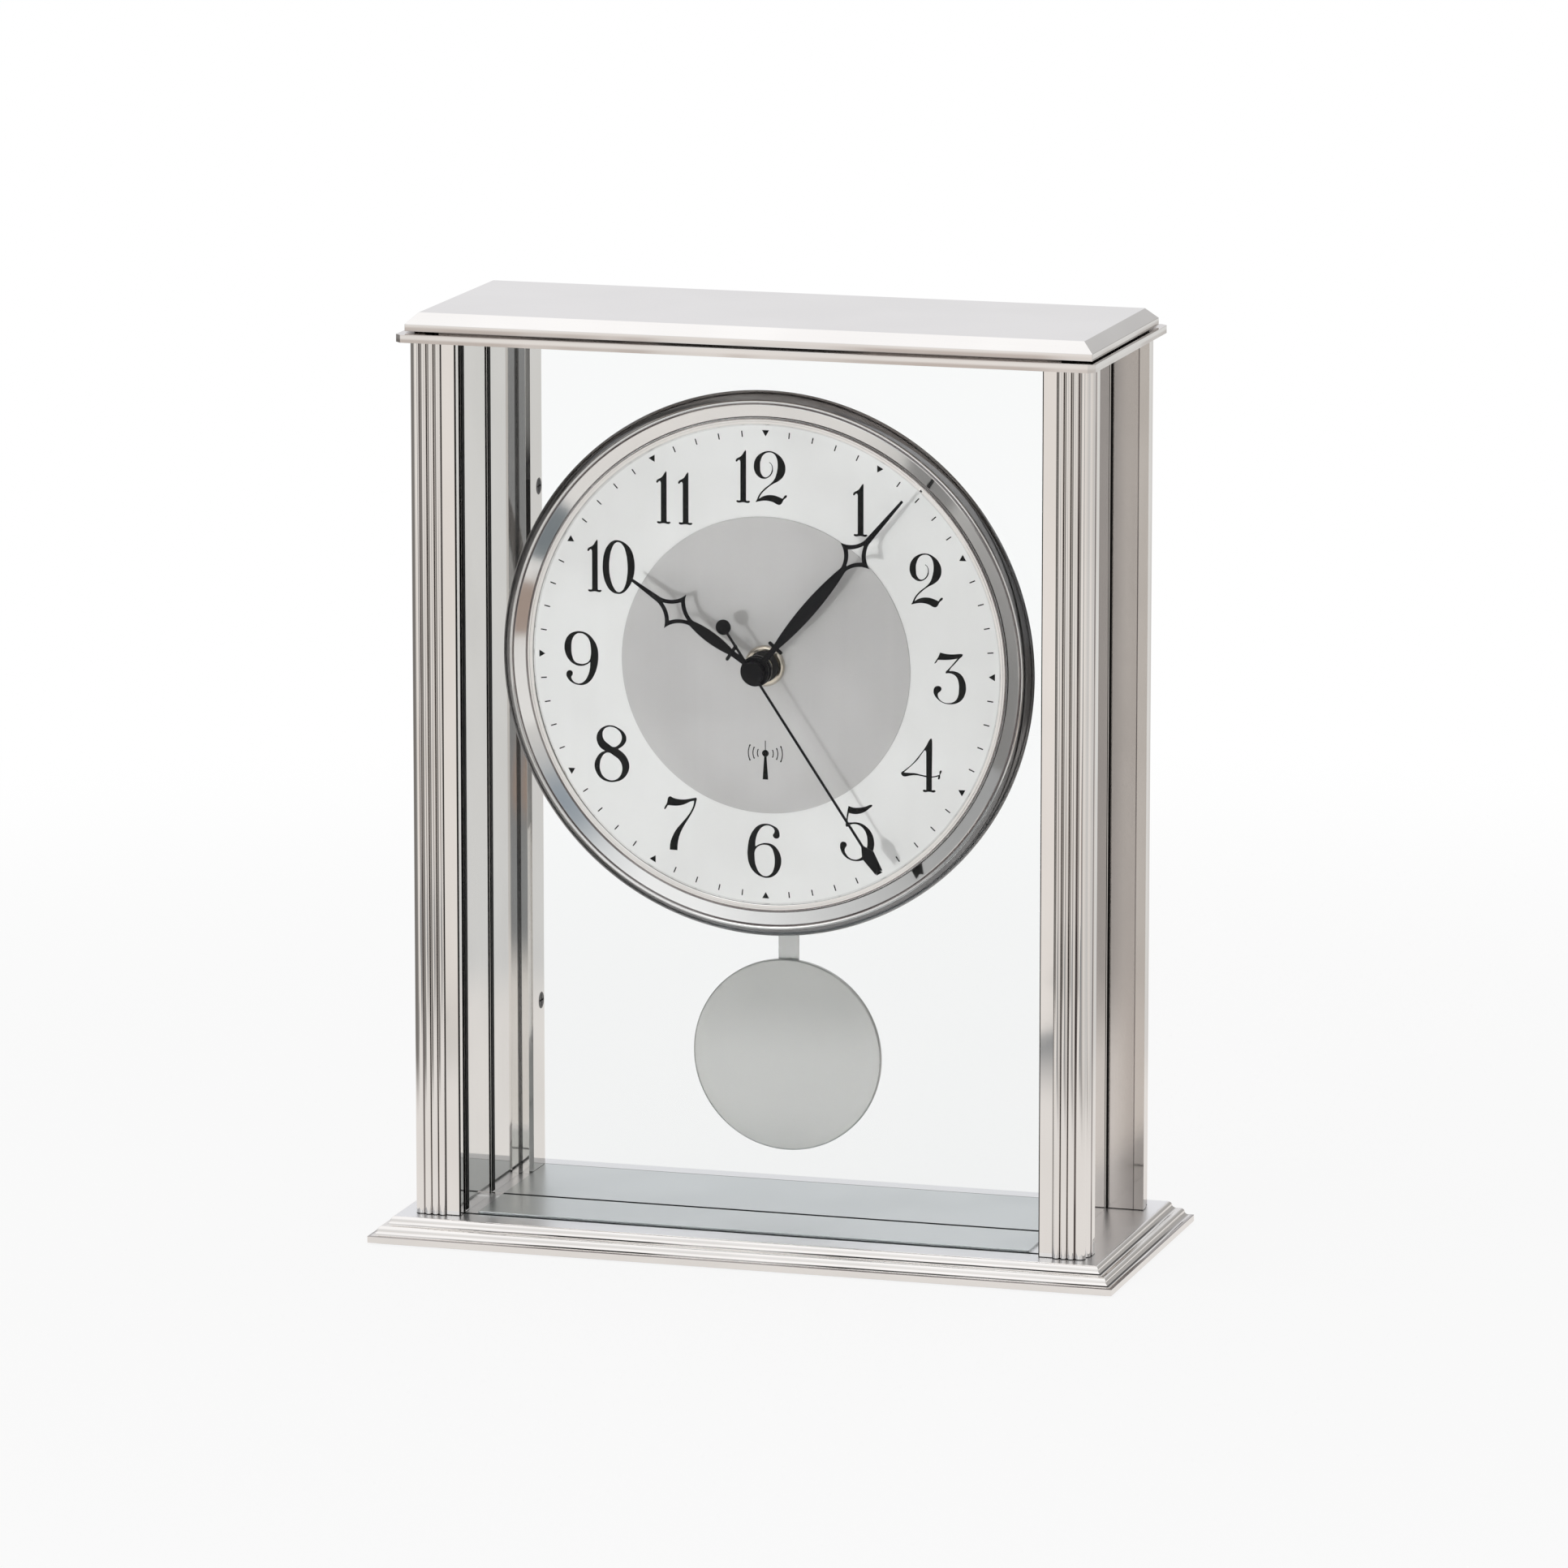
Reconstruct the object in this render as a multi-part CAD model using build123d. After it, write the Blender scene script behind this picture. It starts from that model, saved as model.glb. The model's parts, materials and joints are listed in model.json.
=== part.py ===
from build123d import *
import math
import os

# Desk pendulum clock in a polished metal case with glass front.
# Millimetres, +Z up, front towards -Y, origin under the middle of the base.

# General fits
overrun = 1.0
fit_gap = 0.1
running_gap = 0.05
pane_top_gap = 0.2

# Base
base_ledge = 9.2
base_front_ledge = 9.5
felt_thickness = 0.5
felt_inset = 2.0
slab_edge_height = 1.8
moulding_rise = 4.55
moulding_run = 5.8
moulding_steps = 2
moulding_foot_ledge = 0.3
# Each step of the moulding is a hollow foot and a rounded top: places along its run and rise
step_foot_share = (0.38, 0.12)
step_turn_share = (0.62, 0.45)
step_top_share = (0.76, 0.86)
floor_plate_thickness = 0.6
floor_front_gap = 0.1

# Cap
cap_side_ledge = 1.7
cap_front_ledge = 4.2
cap_slab_thickness = 2.05
cap_corner_clip = 1.6
cap_seat_height = 0.38
cap_seat_inset = 2.0
cap_plate_side_setback = 1.5
cap_plate_front_setback = 4.0
cap_edge_height = 1.84
cap_bevel_height = 2.83
cap_bevel_run = 2.95

# Pillars, in their own section: u runs outwards from the inner face, v towards the reeded face
pillar_width = 13.1
pillar_depth = 8.4
pillar_edge_break = 0.3
flat_width = 3.9
reed_count = 3
reed_width = 1.93
reed_rise = 0.9
corner_bead_setback = 1.1
corner_bead_side = 3.0
side_groove = 0.45
side_bead_length = 2.1
side_bead_rise = 0.25
# Highest point of the corner bead, along its span and in the pillar's depth
bead_crown_share = (0.8, 0.93)

# Side walls, rear strips and panes
panel_thickness = 3.2
panel_groove_width = 1.0
panel_groove_depth = 0.6
panel_groove_setback = 1.6
strip_thickness = 3.4
strip_width = 10.6
strip_rear_setback = 4.1
strip_chamfer = 1.0
glass_thickness = 1.7
front_glass_setback = 3.5
pane_slot_depth = 1.6
carrier_slot_depth = 1.1
carrier_front = -7.9

# Screws of the case
case_screw_radius = 1.45
case_screw_head_radius = 2.9
case_screw_head_height = 2.4
case_screw_grip = 12.0
case_screw_head_cover = 0.6
cap_head_height = 1.1
plate_screw_radius = 1.2
plate_screw_head_radius = 2.4
plate_screw_head_height = 1.3
plate_screw_grip = 3.0
plate_screw_inset = 31.6
plate_screw_depth_inset = 15.4
strip_screw_radius = 1.1
strip_screw_head_radius = 2.2
strip_screw_head_height = 1.2
strip_screw_grip = 5.0
strip_screw_setback = 2.5
strip_screw_rise = 45.85
strip_screw_drop = 46.5
recess_width = 0.5
recess_depth = 0.4

# Clock head
head_gap = 0.3
head_side_gap = 7.3
head_top_gap = 12.4
pan_thickness = 0.7
pan_wall_height = 5.3
pan_wall_setback = 2.0
pan_wall_thickness = 1.0
pan_edge_gap = 0.2
dial_radius = 66.0
dial_thickness = 0.8
dial_centre_radius = 38.9
dial_centre_thickness = 0.25
inner_ring_gap = 0.2
inner_ring_width = 2.0
inner_ring_height = 0.9
inner_ring_slope = 0.5
bezel_overlap = 1.2
bezel_lip = 0.7
band_width = 3.3
band_hollow = 0.3
rim_width = 1.3
rim_height = 0.3
rim_groove = 0.35
bezel_flare = 1.6
bezel_wall = 1.1
bezel_depth = 7.3
neck_radius = 4.0
neck_clearance = 0.1
glass_hole_gap = 0.5
spacer_radius = 7.0
nut_wall = 1.35
nut_height = 1.6
nut_chamfer = 0.6
washer_radius = 9.0
washer_thickness = 0.5
neck_stand_out = 0.3

# Hands, with lengths from the middle of the dial
second_shaft_radius = 0.6
minute_pipe_radius = 1.5
hour_pipe_radius = 2.4
hour_hand_angle = 303.4
minute_hand_angle = 40.4
second_hand_angle = 146.0
hand_thickness = 0.5
hand_gap = 0.3
hour_collar_gap = 4.9
glass_to_boss = 0.45
second_boss_radius = 2.9
second_boss_length = 2.2
second_blade_setback = 0.6
second_blade_thickness = 0.4
second_length = 60.8
second_width = 0.6
second_tail_length = 14.0
second_tail_radius = 2.0
second_arrow_length = 6.7
second_barb_setback = 1.3
second_barb_width = 3.6
second_arrow_width = 2.1
second_notch = 0.8
minute_collar_radius = 3.8
minute_collar_length = 1.2
hour_collar_radius = 4.0
hour_collar_length = 1.5
hand_stalk_width = 1.5
hand_nub_thickness = 0.9
hand_tip_width = 0.65
star_tip_length = 2.45
star_end_wall = 1.3
star_window_neck = 0.2
hour_nub_place = 8.0
hour_nub_span = 4.9
hour_leaf_width = 3.0
hour_leaf_length = 13.0
hour_star_length = 10.4
hour_star_span = 10.9
hour_tip_length = 9.1
minute_nub_place = 8.6
minute_nub_span = 4.6
minute_leaf_width = 3.7
minute_leaf_length = 28.0
minute_star_length = 9.7
minute_star_span = 10.0
minute_tip_length = 14.5
# Hollow sides of the star and of its window: shares across and along
star_waist_share = (0.3, 0.42)
window_waist_share = (0.4, 0.44)
leaf_belly_share = 0.5

# Movement case
movement_wall = 1.2
wheel_case_gap = 2.04
magnet_cover_gap = 0.65
cover_thickness = 1.2
battery_radius = 7.2
battery_body_length = 49.2
battery_nub_length = 1.3
battery_nub_radius = 2.7
battery_slack = 0.2
contact_thickness = 0.4
contact_height = 11.0
contact_dome_radius = 3.0
contact_dome_length = 2.3
cover_post_radius = 2.0
cover_post_inset = 2.5
cover_screw_radius = 0.8
cover_screw_head_radius = 1.7
cover_screw_head_height = 0.8
cover_screw_length = 5.0
bearing_depth = 0.6

# Wheels of the movement
wheel_module = 0.4
wheel_teeth = 60
rotor_teeth = 10
hour_teeth = 40
motion_pinion_teeth = 10
motion_wheel_teeth = 36
minute_pinion_teeth = 12
wheel_thickness = 0.8
wheel_layer_gap = 0.3
arbor_radius = 0.4
stud_radius = 0.6
magnet_radius = 3.0
magnet_length = 1.3
stator_gap = 0.4
stator_wall = 1.9
stator_thickness = 0.8
motor_coil_radius = 2.4
motor_coil_length = 16.0
motor_coil_flange = 0.8
tooth_root_share = 0.3
tooth_tip_share = 0.1
tooth_height_share = 0.9
tooth_foot_share = 1.25

# Electric parts
board_side_gap = 1.3
board_gap = 1.2
board_height = 19.0
board_thickness = 0.8
board_standoff = 0.6
board_post_radius = 1.2
board_post_inset = 2.0
chip_width = 7.0
chip_height = 1.2
chip_gap = 1.25
antenna_end_gap = 1.5
antenna_seat_gap = 0.5
antenna_radius = 2.2
antenna_coil_radius = 2.8
antenna_coil_length = 26.0
antenna_gap = 0.2
drive_coil_gap = 0.3
drive_coil_top_gap = 2.0
drive_coil_radius = 4.4
drive_coil_bore = 1.6
drive_coil_length = 2.0
button_names = ("set_button", "receive_button", "reset_button")
button_side_setback = 5.5
button_top_setback = 1.5
button_spacing = 7.0
button_radius = 1.7
button_stand_out = 1.0
button_flange_radius = 2.4
button_flange_thickness = 0.7
button_stem_radius = 1.2
button_stem_length = 0.9
button_travel = 0.8
button_hole_gap = 0.15
switch_width = 3.2
switch_height = 1.9
switch_nub_radius = 0.8
switch_clearance = 0.2

# Pendulum
pivot_pin_radius = 0.9
pivot_pin_grip = 0.9
pivot_head_radius = 1.6
pivot_head_thickness = 0.6
pivot_boss_radius = 2.2
pivot_boss_height = 0.2
arm_gap = 0.4
arm_thickness = 2.1
arm_hub_radius = 3.2
arm_hub_length = 4.2
arm_width = 5.0
arm_tail = 9.0
arm_magnet_ring = 1.0
drive_magnet_radius = 3.6
drive_magnet_thickness = 1.5
pendulum_rod_width = 5.5
pendulum_rod_thickness = 0.6
rod_hook_radius = 1.0
rod_hook_drop = 3.0
rod_hook_stand_out = 1.2
rod_top_cover = 9.0
bob_floor_gap = 14.25
bob_head_gap = 10.6
bob_radius = 25.6
bob_thickness = 1.7
bob_edge = 0.5
rod_end_lift = 12.0
clip_width = 11.0
clip_height = 5.0
clip_wall = 0.6
clip_spread = 26.0

# Radii of the clock head worked out from the sizes above
bezel_bore = dial_radius - bezel_overlap
band_outer_radius = bezel_bore + band_width
rim_radius = band_outer_radius + rim_width
bezel_back_radius = rim_radius + bezel_flare
inner_ring_radius = bezel_bore - inner_ring_gap
inner_ring_bore = inner_ring_radius - inner_ring_width
pan_wall_radius = dial_radius - pan_wall_setback
glass_hole_radius = neck_radius + glass_hole_gap
nut_radius = neck_radius + nut_wall

# Levels, from the felt up to the bevelled top
plateau = felt_thickness + slab_edge_height + moulding_rise
floor_top = plateau + floor_plate_thickness
bob_height = floor_top + bob_floor_gap + bob_radius
head_height = bob_height + bob_radius + bob_head_gap + bezel_back_radius
pillar_top = head_height + bezel_back_radius + head_top_gap
pillar_height = pillar_top - plateau
slab_top = pillar_top + cap_slab_thickness
plate_low = slab_top + cap_seat_height
plate_edge_top = plate_low + cap_edge_height
case_top = plate_edge_top + cap_bevel_height
strip_screw_low = plateau + strip_screw_rise
strip_screw_high = pillar_top - strip_screw_drop

# Depths, from the carrier pane forwards to the reeded faces
carrier_back = carrier_front + glass_thickness
pan_back = carrier_front - head_gap
pan_front = pan_back - pan_thickness
dial_back = pan_front - pan_wall_height
dial_front = dial_back - dial_thickness
centre_front = dial_front - dial_centre_thickness
nut_front = centre_front - nut_height
neck_front = nut_front - neck_stand_out
hour_front = neck_front - hour_collar_gap - hour_collar_length
minute_front = hour_front - hand_gap - minute_collar_length
boss_front = minute_front - hand_gap - second_boss_length
second_blade_front = boss_front + second_blade_setback
front_glass_back = boss_front - glass_to_boss
front_glass_front = front_glass_back - glass_thickness
face_y = front_glass_setback - front_glass_front
pillar_back_y = face_y - pillar_depth
strip_rear_y = face_y - strip_rear_setback
strip_front_y = strip_rear_y - strip_width

# Widths of the case, base and cap
inner_x = bezel_back_radius + head_side_gap
strip_face_x = inner_x - strip_thickness
base_width = 2 * (inner_x + pillar_width + base_ledge)
base_depth = 2 * (face_y + base_front_ledge)
cap_slab_width = 2 * (inner_x + pillar_width + cap_side_ledge)
cap_slab_depth = 2 * (face_y + cap_front_ledge)
cap_plate_width = cap_slab_width - 2 * cap_plate_side_setback
cap_plate_depth = cap_slab_depth - 2 * cap_plate_front_setback

# Layers of the movement, from the carrier pane backwards
movement_front = carrier_back + washer_thickness
movement_floor = movement_front + movement_wall
hour_layer = movement_floor + wheel_layer_gap
motion_layer = hour_layer + wheel_thickness + wheel_layer_gap
minute_layer = motion_layer + wheel_thickness + wheel_layer_gap
second_layer = minute_layer + wheel_thickness + 2 * wheel_layer_gap
second_magnet_front = second_layer + wheel_thickness + wheel_layer_gap / 2
cover_front = second_magnet_front + magnet_length + magnet_cover_gap
cover_back = cover_front + cover_thickness
arm_front = cover_back + arm_gap
arm_back = arm_front + arm_thickness
rod_back = arm_back + pendulum_rod_thickness
bob_front = arm_back - bob_thickness

# Places inside the movement, down from the wheels' middle and up to the battery bay
rotor_reach = wheel_module * (wheel_teeth + rotor_teeth) / 2
motion_reach = wheel_module * (hour_teeth + motion_pinion_teeth) / 2
motion_module = 2 * motion_reach / (motion_wheel_teeth + minute_pinion_teeth)
wheel_tip_radius = wheel_module * (wheel_teeth / 2 + tooth_height_share)
stator_bore = magnet_radius + stator_gap
stator_radius = stator_bore + stator_wall
lying_coil_drop = rotor_reach + stator_radius + motor_coil_radius
lying_coil_low = head_height - lying_coil_drop - motor_coil_radius
drive_coil_height = lying_coil_low - drive_coil_top_gap - drive_coil_radius
antenna_height = drive_coil_height - drive_coil_radius - drive_coil_gap - antenna_coil_radius
movement_low = antenna_height - antenna_coil_radius - antenna_seat_gap - movement_wall
contact_space = 2 * contact_thickness + contact_dome_length
movement_inner_x = (battery_body_length + battery_nub_length + contact_space) / 2
movement_width = 2 * (movement_inner_x + movement_wall)
bay_low = head_height + wheel_tip_radius + wheel_case_gap + movement_wall
bay_size = 2 * (battery_radius + battery_slack)
movement_high = bay_low + bay_size + movement_wall
bay_back = movement_floor + bay_size
battery_y = movement_floor + battery_slack + battery_radius
battery_z = bay_low + battery_slack + battery_radius
board_low = antenna_height + antenna_coil_radius + board_gap
board_high = board_low + board_height
board_width = 2 * (movement_inner_x - board_side_gap)
button_place = board_width / 2 - button_side_setback
button_top = board_high - button_top_setback
button_heights = [button_top - row * button_spacing for row in range(len(button_names))]
pivot_height = head_height + second_shaft_radius + pivot_pin_radius
arm_low = drive_coil_height - arm_tail


def block(x_span, y_span, z_span):
    """A box between two values on each axis."""
    sizes = [span[1] - span[0] for span in (x_span, y_span, z_span)]
    middle = [(span[1] + span[0]) / 2 for span in (x_span, y_span, z_span)]
    return Pos(*middle) * Box(*sizes)


def turned(radius, front, back, x=0, z=0):
    """A cylinder along Y between two depths."""
    return Pos(x, (front + back) / 2, z) * Rot(90, 0, 0) * Cylinder(radius, back - front)


def upright(radius, low, high, x=0, y=0):
    """A cylinder along Z between two heights."""
    return Pos(x, y, (low + high) / 2) * Cylinder(radius, high - low)


def lengthwise(radius, left, right, y=0, z=0):
    """A cylinder along X between two places."""
    return Pos((left + right) / 2, y, z) * Rot(0, 90, 0) * Cylinder(radius, right - left)


def plate_xz(outline, front, back):
    """A flat outline in X and Z given thickness from one depth to another."""
    return extrude(Plane.XZ.offset(-back) * outline, back - front)


def save(node, *solids):
    """Write one node, as one solid or as a group of separate solids."""
    shape = solids[0] if len(solids) == 1 else Compound(children=list(solids))
    export_step(shape, f"parts/{node}.step")


def both_sides(shape):
    """The shape on the right side and its mirror image on the left."""
    return shape, mirror(shape, about=Plane.YZ)


# Base
def moulding_section(half_span):
    """Half of the base's cross section, from the middle out to one edge."""
    slab_z = felt_thickness + slab_edge_height
    run = (moulding_run - moulding_foot_ledge) / moulding_steps
    rise = moulding_rise / moulding_steps
    edges = [Line((0, felt_thickness), (half_span, felt_thickness))]
    edges.append(Line((half_span, felt_thickness), (half_span, slab_z)))
    here = (half_span - moulding_foot_ledge, slab_z)
    edges.append(Line((half_span, slab_z), here))
    for step in range(moulding_steps):
        foot = (here[0] - run * step_foot_share[0], here[1] + rise * step_foot_share[1])
        turn = (here[0] - run * step_turn_share[0], here[1] + rise * step_turn_share[1])
        top = (here[0] - run * step_top_share[0], here[1] + rise * step_top_share[1])
        end = (here[0] - run, here[1] + rise)
        edges.append(ThreePointArc(here, foot, turn))
        edges.append(ThreePointArc(turn, top, end))
        here = end
    edges.append(Line(here, (0, here[1])))
    edges.append(Line((0, here[1]), (0, felt_thickness)))
    return make_face(edges)


def moulded_bar(half_span, length, plane):
    """The base's cross section, both halves, run along its other direction."""
    half = extrude(plane * moulding_section(half_span), length / 2 + overrun, both=True)
    return half + mirror(half, about=Plane(plane.origin, x_dir=plane.z_dir, z_dir=plane.x_dir))


def screw_places():
    """The middle of each pillar, where its screws go."""
    x = inner_x + pillar_width / 2
    y = face_y - pillar_depth / 2
    return [(side * x, end * y) for side in (-1, 1) for end in (-1, 1)]


def base():
    """Moulded base, its felt and the screws that hold the pillars."""
    across = moulded_bar(base_width / 2, base_depth, Plane.XZ)
    along = moulded_bar(base_depth / 2, base_width, Plane.YZ)
    plinth = across & along
    head_seat = felt_thickness + case_screw_head_cover + case_screw_head_height
    screws = []
    for x, y in screw_places():
        plinth -= upright(case_screw_head_radius + fit_gap, 0, head_seat, x, y)
        plinth -= upright(case_screw_radius + fit_gap, head_seat, plateau + overrun, x, y)
        head = upright(case_screw_head_radius, head_seat - case_screw_head_height, head_seat, x, y)
        screws.append(head + upright(case_screw_radius, head_seat, plateau + case_screw_grip, x, y))
    save("base_plinth", plinth)
    save("base_screws", *screws)
    felt_x = base_width / 2 - felt_inset
    felt_y = base_depth / 2 - felt_inset
    save("base_felt", block((-felt_x, felt_x), (-felt_y, felt_y), (0, felt_thickness)))
    floor_x = strip_face_x - fit_gap
    floor_y = (front_glass_back + floor_front_gap, strip_rear_y)
    save("floor_plate", block((-floor_x, floor_x), floor_y, (plateau, floor_top)))


# Pillars
def pillar_section(side, end):
    """Reeded outline of one pillar, side 1 on the right, end -1 at the front."""
    def place(u, v):
        return (side * (inner_x + u), end * (pillar_back_y + v))

    valley = pillar_depth - reed_rise
    edges = [Line(place(0, 0), place(0, valley - pillar_edge_break))]
    edges.append(Line(place(0, valley - pillar_edge_break), place(pillar_edge_break, valley)))
    edges.append(Line(place(pillar_edge_break, valley), place(flat_width, valley)))
    u = flat_width
    for reed in range(reed_count):
        middle = place(u + reed_width / 2, pillar_depth)
        edges.append(ThreePointArc(place(u, valley), middle, place(u + reed_width, valley)))
        u += reed_width
    bead_u = pillar_width - corner_bead_setback
    bead_v = pillar_depth - corner_bead_side
    crown_u = u + (bead_u - u) * bead_crown_share[0]
    crown = place(crown_u, pillar_depth * bead_crown_share[1])
    edges.append(ThreePointArc(place(u, valley), crown, place(bead_u, bead_v)))
    notch = place(bead_u - side_groove, bead_v - side_groove)
    edges.append(Line(place(bead_u, bead_v), notch))
    second_low = bead_v - side_groove - side_bead_length
    second_u = pillar_width - side_groove
    belly = place(pillar_width - side_bead_rise, bead_v - side_groove - side_bead_length / 2)
    edges.append(ThreePointArc(notch, belly, place(second_u, second_low)))
    edges.append(Line(place(second_u, second_low), place(pillar_width, second_low - side_groove)))
    edges.append(Line(place(pillar_width, second_low - side_groove), place(pillar_width, 0)))
    edges.append(Line(place(pillar_width, 0), place(0, 0)))
    return make_face(edges)


def pillar(side, end):
    """One pillar with its screw holes and, at the front, the slot for the pane."""
    section = Pos(0, 0, plateau) * pillar_section(side, end)
    body = extrude(section, pillar_height, dir=(0, 0, 1))
    x = side * (inner_x + pillar_width / 2)
    y = end * (face_y - pillar_depth / 2)
    hole = case_screw_radius + running_gap
    body -= upright(hole, plateau, plateau + case_screw_grip + overrun, x, y)
    body -= upright(hole, pillar_top - case_screw_grip - overrun, pillar_top, x, y)
    if end < 0:
        slot_x = sorted((side * (inner_x - overrun), side * (inner_x + pane_slot_depth)))
        slot_y = (front_glass_front - fit_gap, front_glass_back + fit_gap)
        body -= block(slot_x, slot_y, (plateau, pillar_top))
    else:
        for z in (strip_screw_low, strip_screw_high):
            ends = sorted((side * inner_x, side * (inner_x + strip_screw_grip + overrun)))
            radius = strip_screw_radius + running_gap
            body -= lengthwise(radius, *ends, strip_rear_y - strip_screw_setback, z)
    return body


def pillars():
    """Four corner pillars."""
    for side, side_name in ((-1, "left"), (1, "right")):
        for end, end_name in ((-1, "front"), (1, "rear")):
            save(f"pillar_{end_name}_{side_name}", pillar(side, end))


# Side walls and rear strips
def sides():
    """Polished side walls between the pillars, grooved for the carrier pane."""
    outer = inner_x + panel_thickness
    wall = block((inner_x, outer), (-pillar_back_y, pillar_back_y), (plateau, pillar_top))
    for end in (-1, 1):
        line = end * (pillar_back_y - panel_groove_setback)
        edges = sorted((line, line - end * panel_groove_width))
        wall -= block((outer - panel_groove_depth, outer + overrun), edges, (plateau, pillar_top))
    slot_y = (carrier_front - fit_gap, carrier_back + fit_gap)
    slot_x = (inner_x - overrun, inner_x + carrier_slot_depth)
    wall -= block(slot_x, slot_y, (plateau, pillar_top))
    right, left = both_sides(wall)
    save("side_panel_right", right)
    save("side_panel_left", left)


def strips():
    """Flat bars inside the rear edges and their countersunk screws."""
    bar = block((strip_face_x, inner_x), (strip_front_y, strip_rear_y), (plateau, pillar_top))
    corner = bar.edges().filter_by(Axis.Z).sort_by(Axis.X)[:2].sort_by(Axis.Y)[0]
    bar = chamfer(corner, strip_chamfer)
    y = strip_rear_y - strip_screw_setback
    screws = []
    for z in (strip_screw_low, strip_screw_high):
        cone_x = strip_face_x + strip_screw_head_height / 2
        head = Pos(cone_x, y, z) * Rot(0, 90, 0)
        head *= Cone(strip_screw_head_radius, strip_screw_radius, strip_screw_head_height)
        seat = Pos(cone_x, y, z) * Rot(0, 90, 0)
        seat *= Cone(
            strip_screw_head_radius + fit_gap, strip_screw_radius + fit_gap, strip_screw_head_height
        )
        bar -= seat
        bar -= lengthwise(strip_screw_radius + fit_gap, strip_face_x, inner_x, y, z)
        shank_x = (strip_face_x + strip_screw_head_height, inner_x + strip_screw_grip)
        screw = head + lengthwise(strip_screw_radius, *shank_x, y, z)
        floor_x = strip_face_x + recess_depth
        reach = strip_screw_head_radius - recess_width
        half = recess_width / 2
        recess_x = (strip_face_x - overrun, floor_x)
        screw -= block(recess_x, (y - reach, y + reach), (z - half, z + half))
        screw -= block(recess_x, (y - half, y + half), (z - reach, z + reach))
        screws.extend(both_sides(screw))
    right, left = both_sides(bar)
    save("rear_strip_right", right)
    save("rear_strip_left", left)
    save("strip_screws", *screws)


# Cap
def bevelled_top(low, high, half_x, half_y):
    """Lower part of the top plate straight, upper part sloping in on all sides."""
    straight = block((-half_x, half_x), (-half_y, half_y), (low, high))
    foot = Pos(0, 0, high) * Rectangle(2 * half_x, 2 * half_y)
    crown_x = half_x - cap_bevel_run
    crown_y = half_y - cap_bevel_run
    crown = Pos(0, 0, case_top) * Rectangle(2 * crown_x, 2 * crown_y)
    return straight + loft([foot, crown])


def cap():
    """Thin slab on the pillars, bevelled plate on top of it, and their screws."""
    slab_x = cap_slab_width / 2
    slab_y = cap_slab_depth / 2
    slab = block((-slab_x, slab_x), (-slab_y, slab_y), (pillar_top, slab_top))
    slab = chamfer(slab.edges().filter_by(Axis.Z), cap_corner_clip)
    plate_x = cap_plate_width / 2
    plate_y = cap_plate_depth / 2
    seat_x = plate_x - cap_seat_inset
    seat_y = plate_y - cap_seat_inset
    slab += block((-seat_x, seat_x), (-seat_y, seat_y), (slab_top, plate_low))
    plate = bevelled_top(plate_low, plate_edge_top, plate_x, plate_y)
    head_low = slab_top - cap_head_height
    slab_screws = []
    for x, y in screw_places():
        slab -= upright(case_screw_head_radius + fit_gap, head_low, plate_low + overrun, x, y)
        slab -= upright(case_screw_radius + fit_gap, pillar_top, head_low, x, y)
        screw = upright(case_screw_head_radius, head_low, slab_top, x, y)
        screw += upright(case_screw_radius, pillar_top - case_screw_grip, head_low, x, y)
        slab_screws.append(screw)
    plate_screws = []
    for side in (-1, 1):
        for end in (-1, 1):
            x = side * (plate_x - plate_screw_inset)
            y = end * (plate_y - plate_screw_depth_inset)
            tip = plate_low + plate_screw_grip
            slab -= upright(plate_screw_radius + fit_gap, pillar_top, plate_low, x, y)
            plate -= upright(plate_screw_radius + running_gap, plate_low, tip + fit_gap, x, y)
            head_z = pillar_top - plate_screw_head_height
            screw = upright(plate_screw_head_radius, head_z, pillar_top, x, y)
            plate_screws.append(screw + upright(plate_screw_radius, pillar_top, tip, x, y))
    save("cap_slab", slab)
    save("cap_plate", plate)
    save("cap_screws", *slab_screws)
    save("plate_screws", *plate_screws)


def panes():
    """Front pane in the pillars' slots and the pane that carries the clock head."""
    high = pillar_top - pane_top_gap
    front_x = inner_x + pane_slot_depth - fit_gap
    front = block((-front_x, front_x), (front_glass_front, front_glass_back), (plateau, high))
    save("front_glass", front)
    carrier_x = inner_x + carrier_slot_depth - fit_gap
    carrier = block((-carrier_x, carrier_x), (carrier_front, carrier_back), (floor_top, high))
    carrier -= turned(
        glass_hole_radius, carrier_front - overrun, carrier_back + overrun, z=head_height
    )
    save("carrier_glass", carrier)


# Clock head
def ring(radius, bore, front, back):
    """A flat ring around the middle of the dial."""
    body = turned(radius, front, back, z=head_height)
    return body - turned(bore, front - overrun, back + overrun, z=head_height)


def spun(edges):
    """A section in radius and depth turned around the dial's middle axis."""
    section = make_face([Plane.XY * edge for edge in edges])
    return Pos(0, 0, head_height) * revolve(section, Axis.Y)


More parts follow.
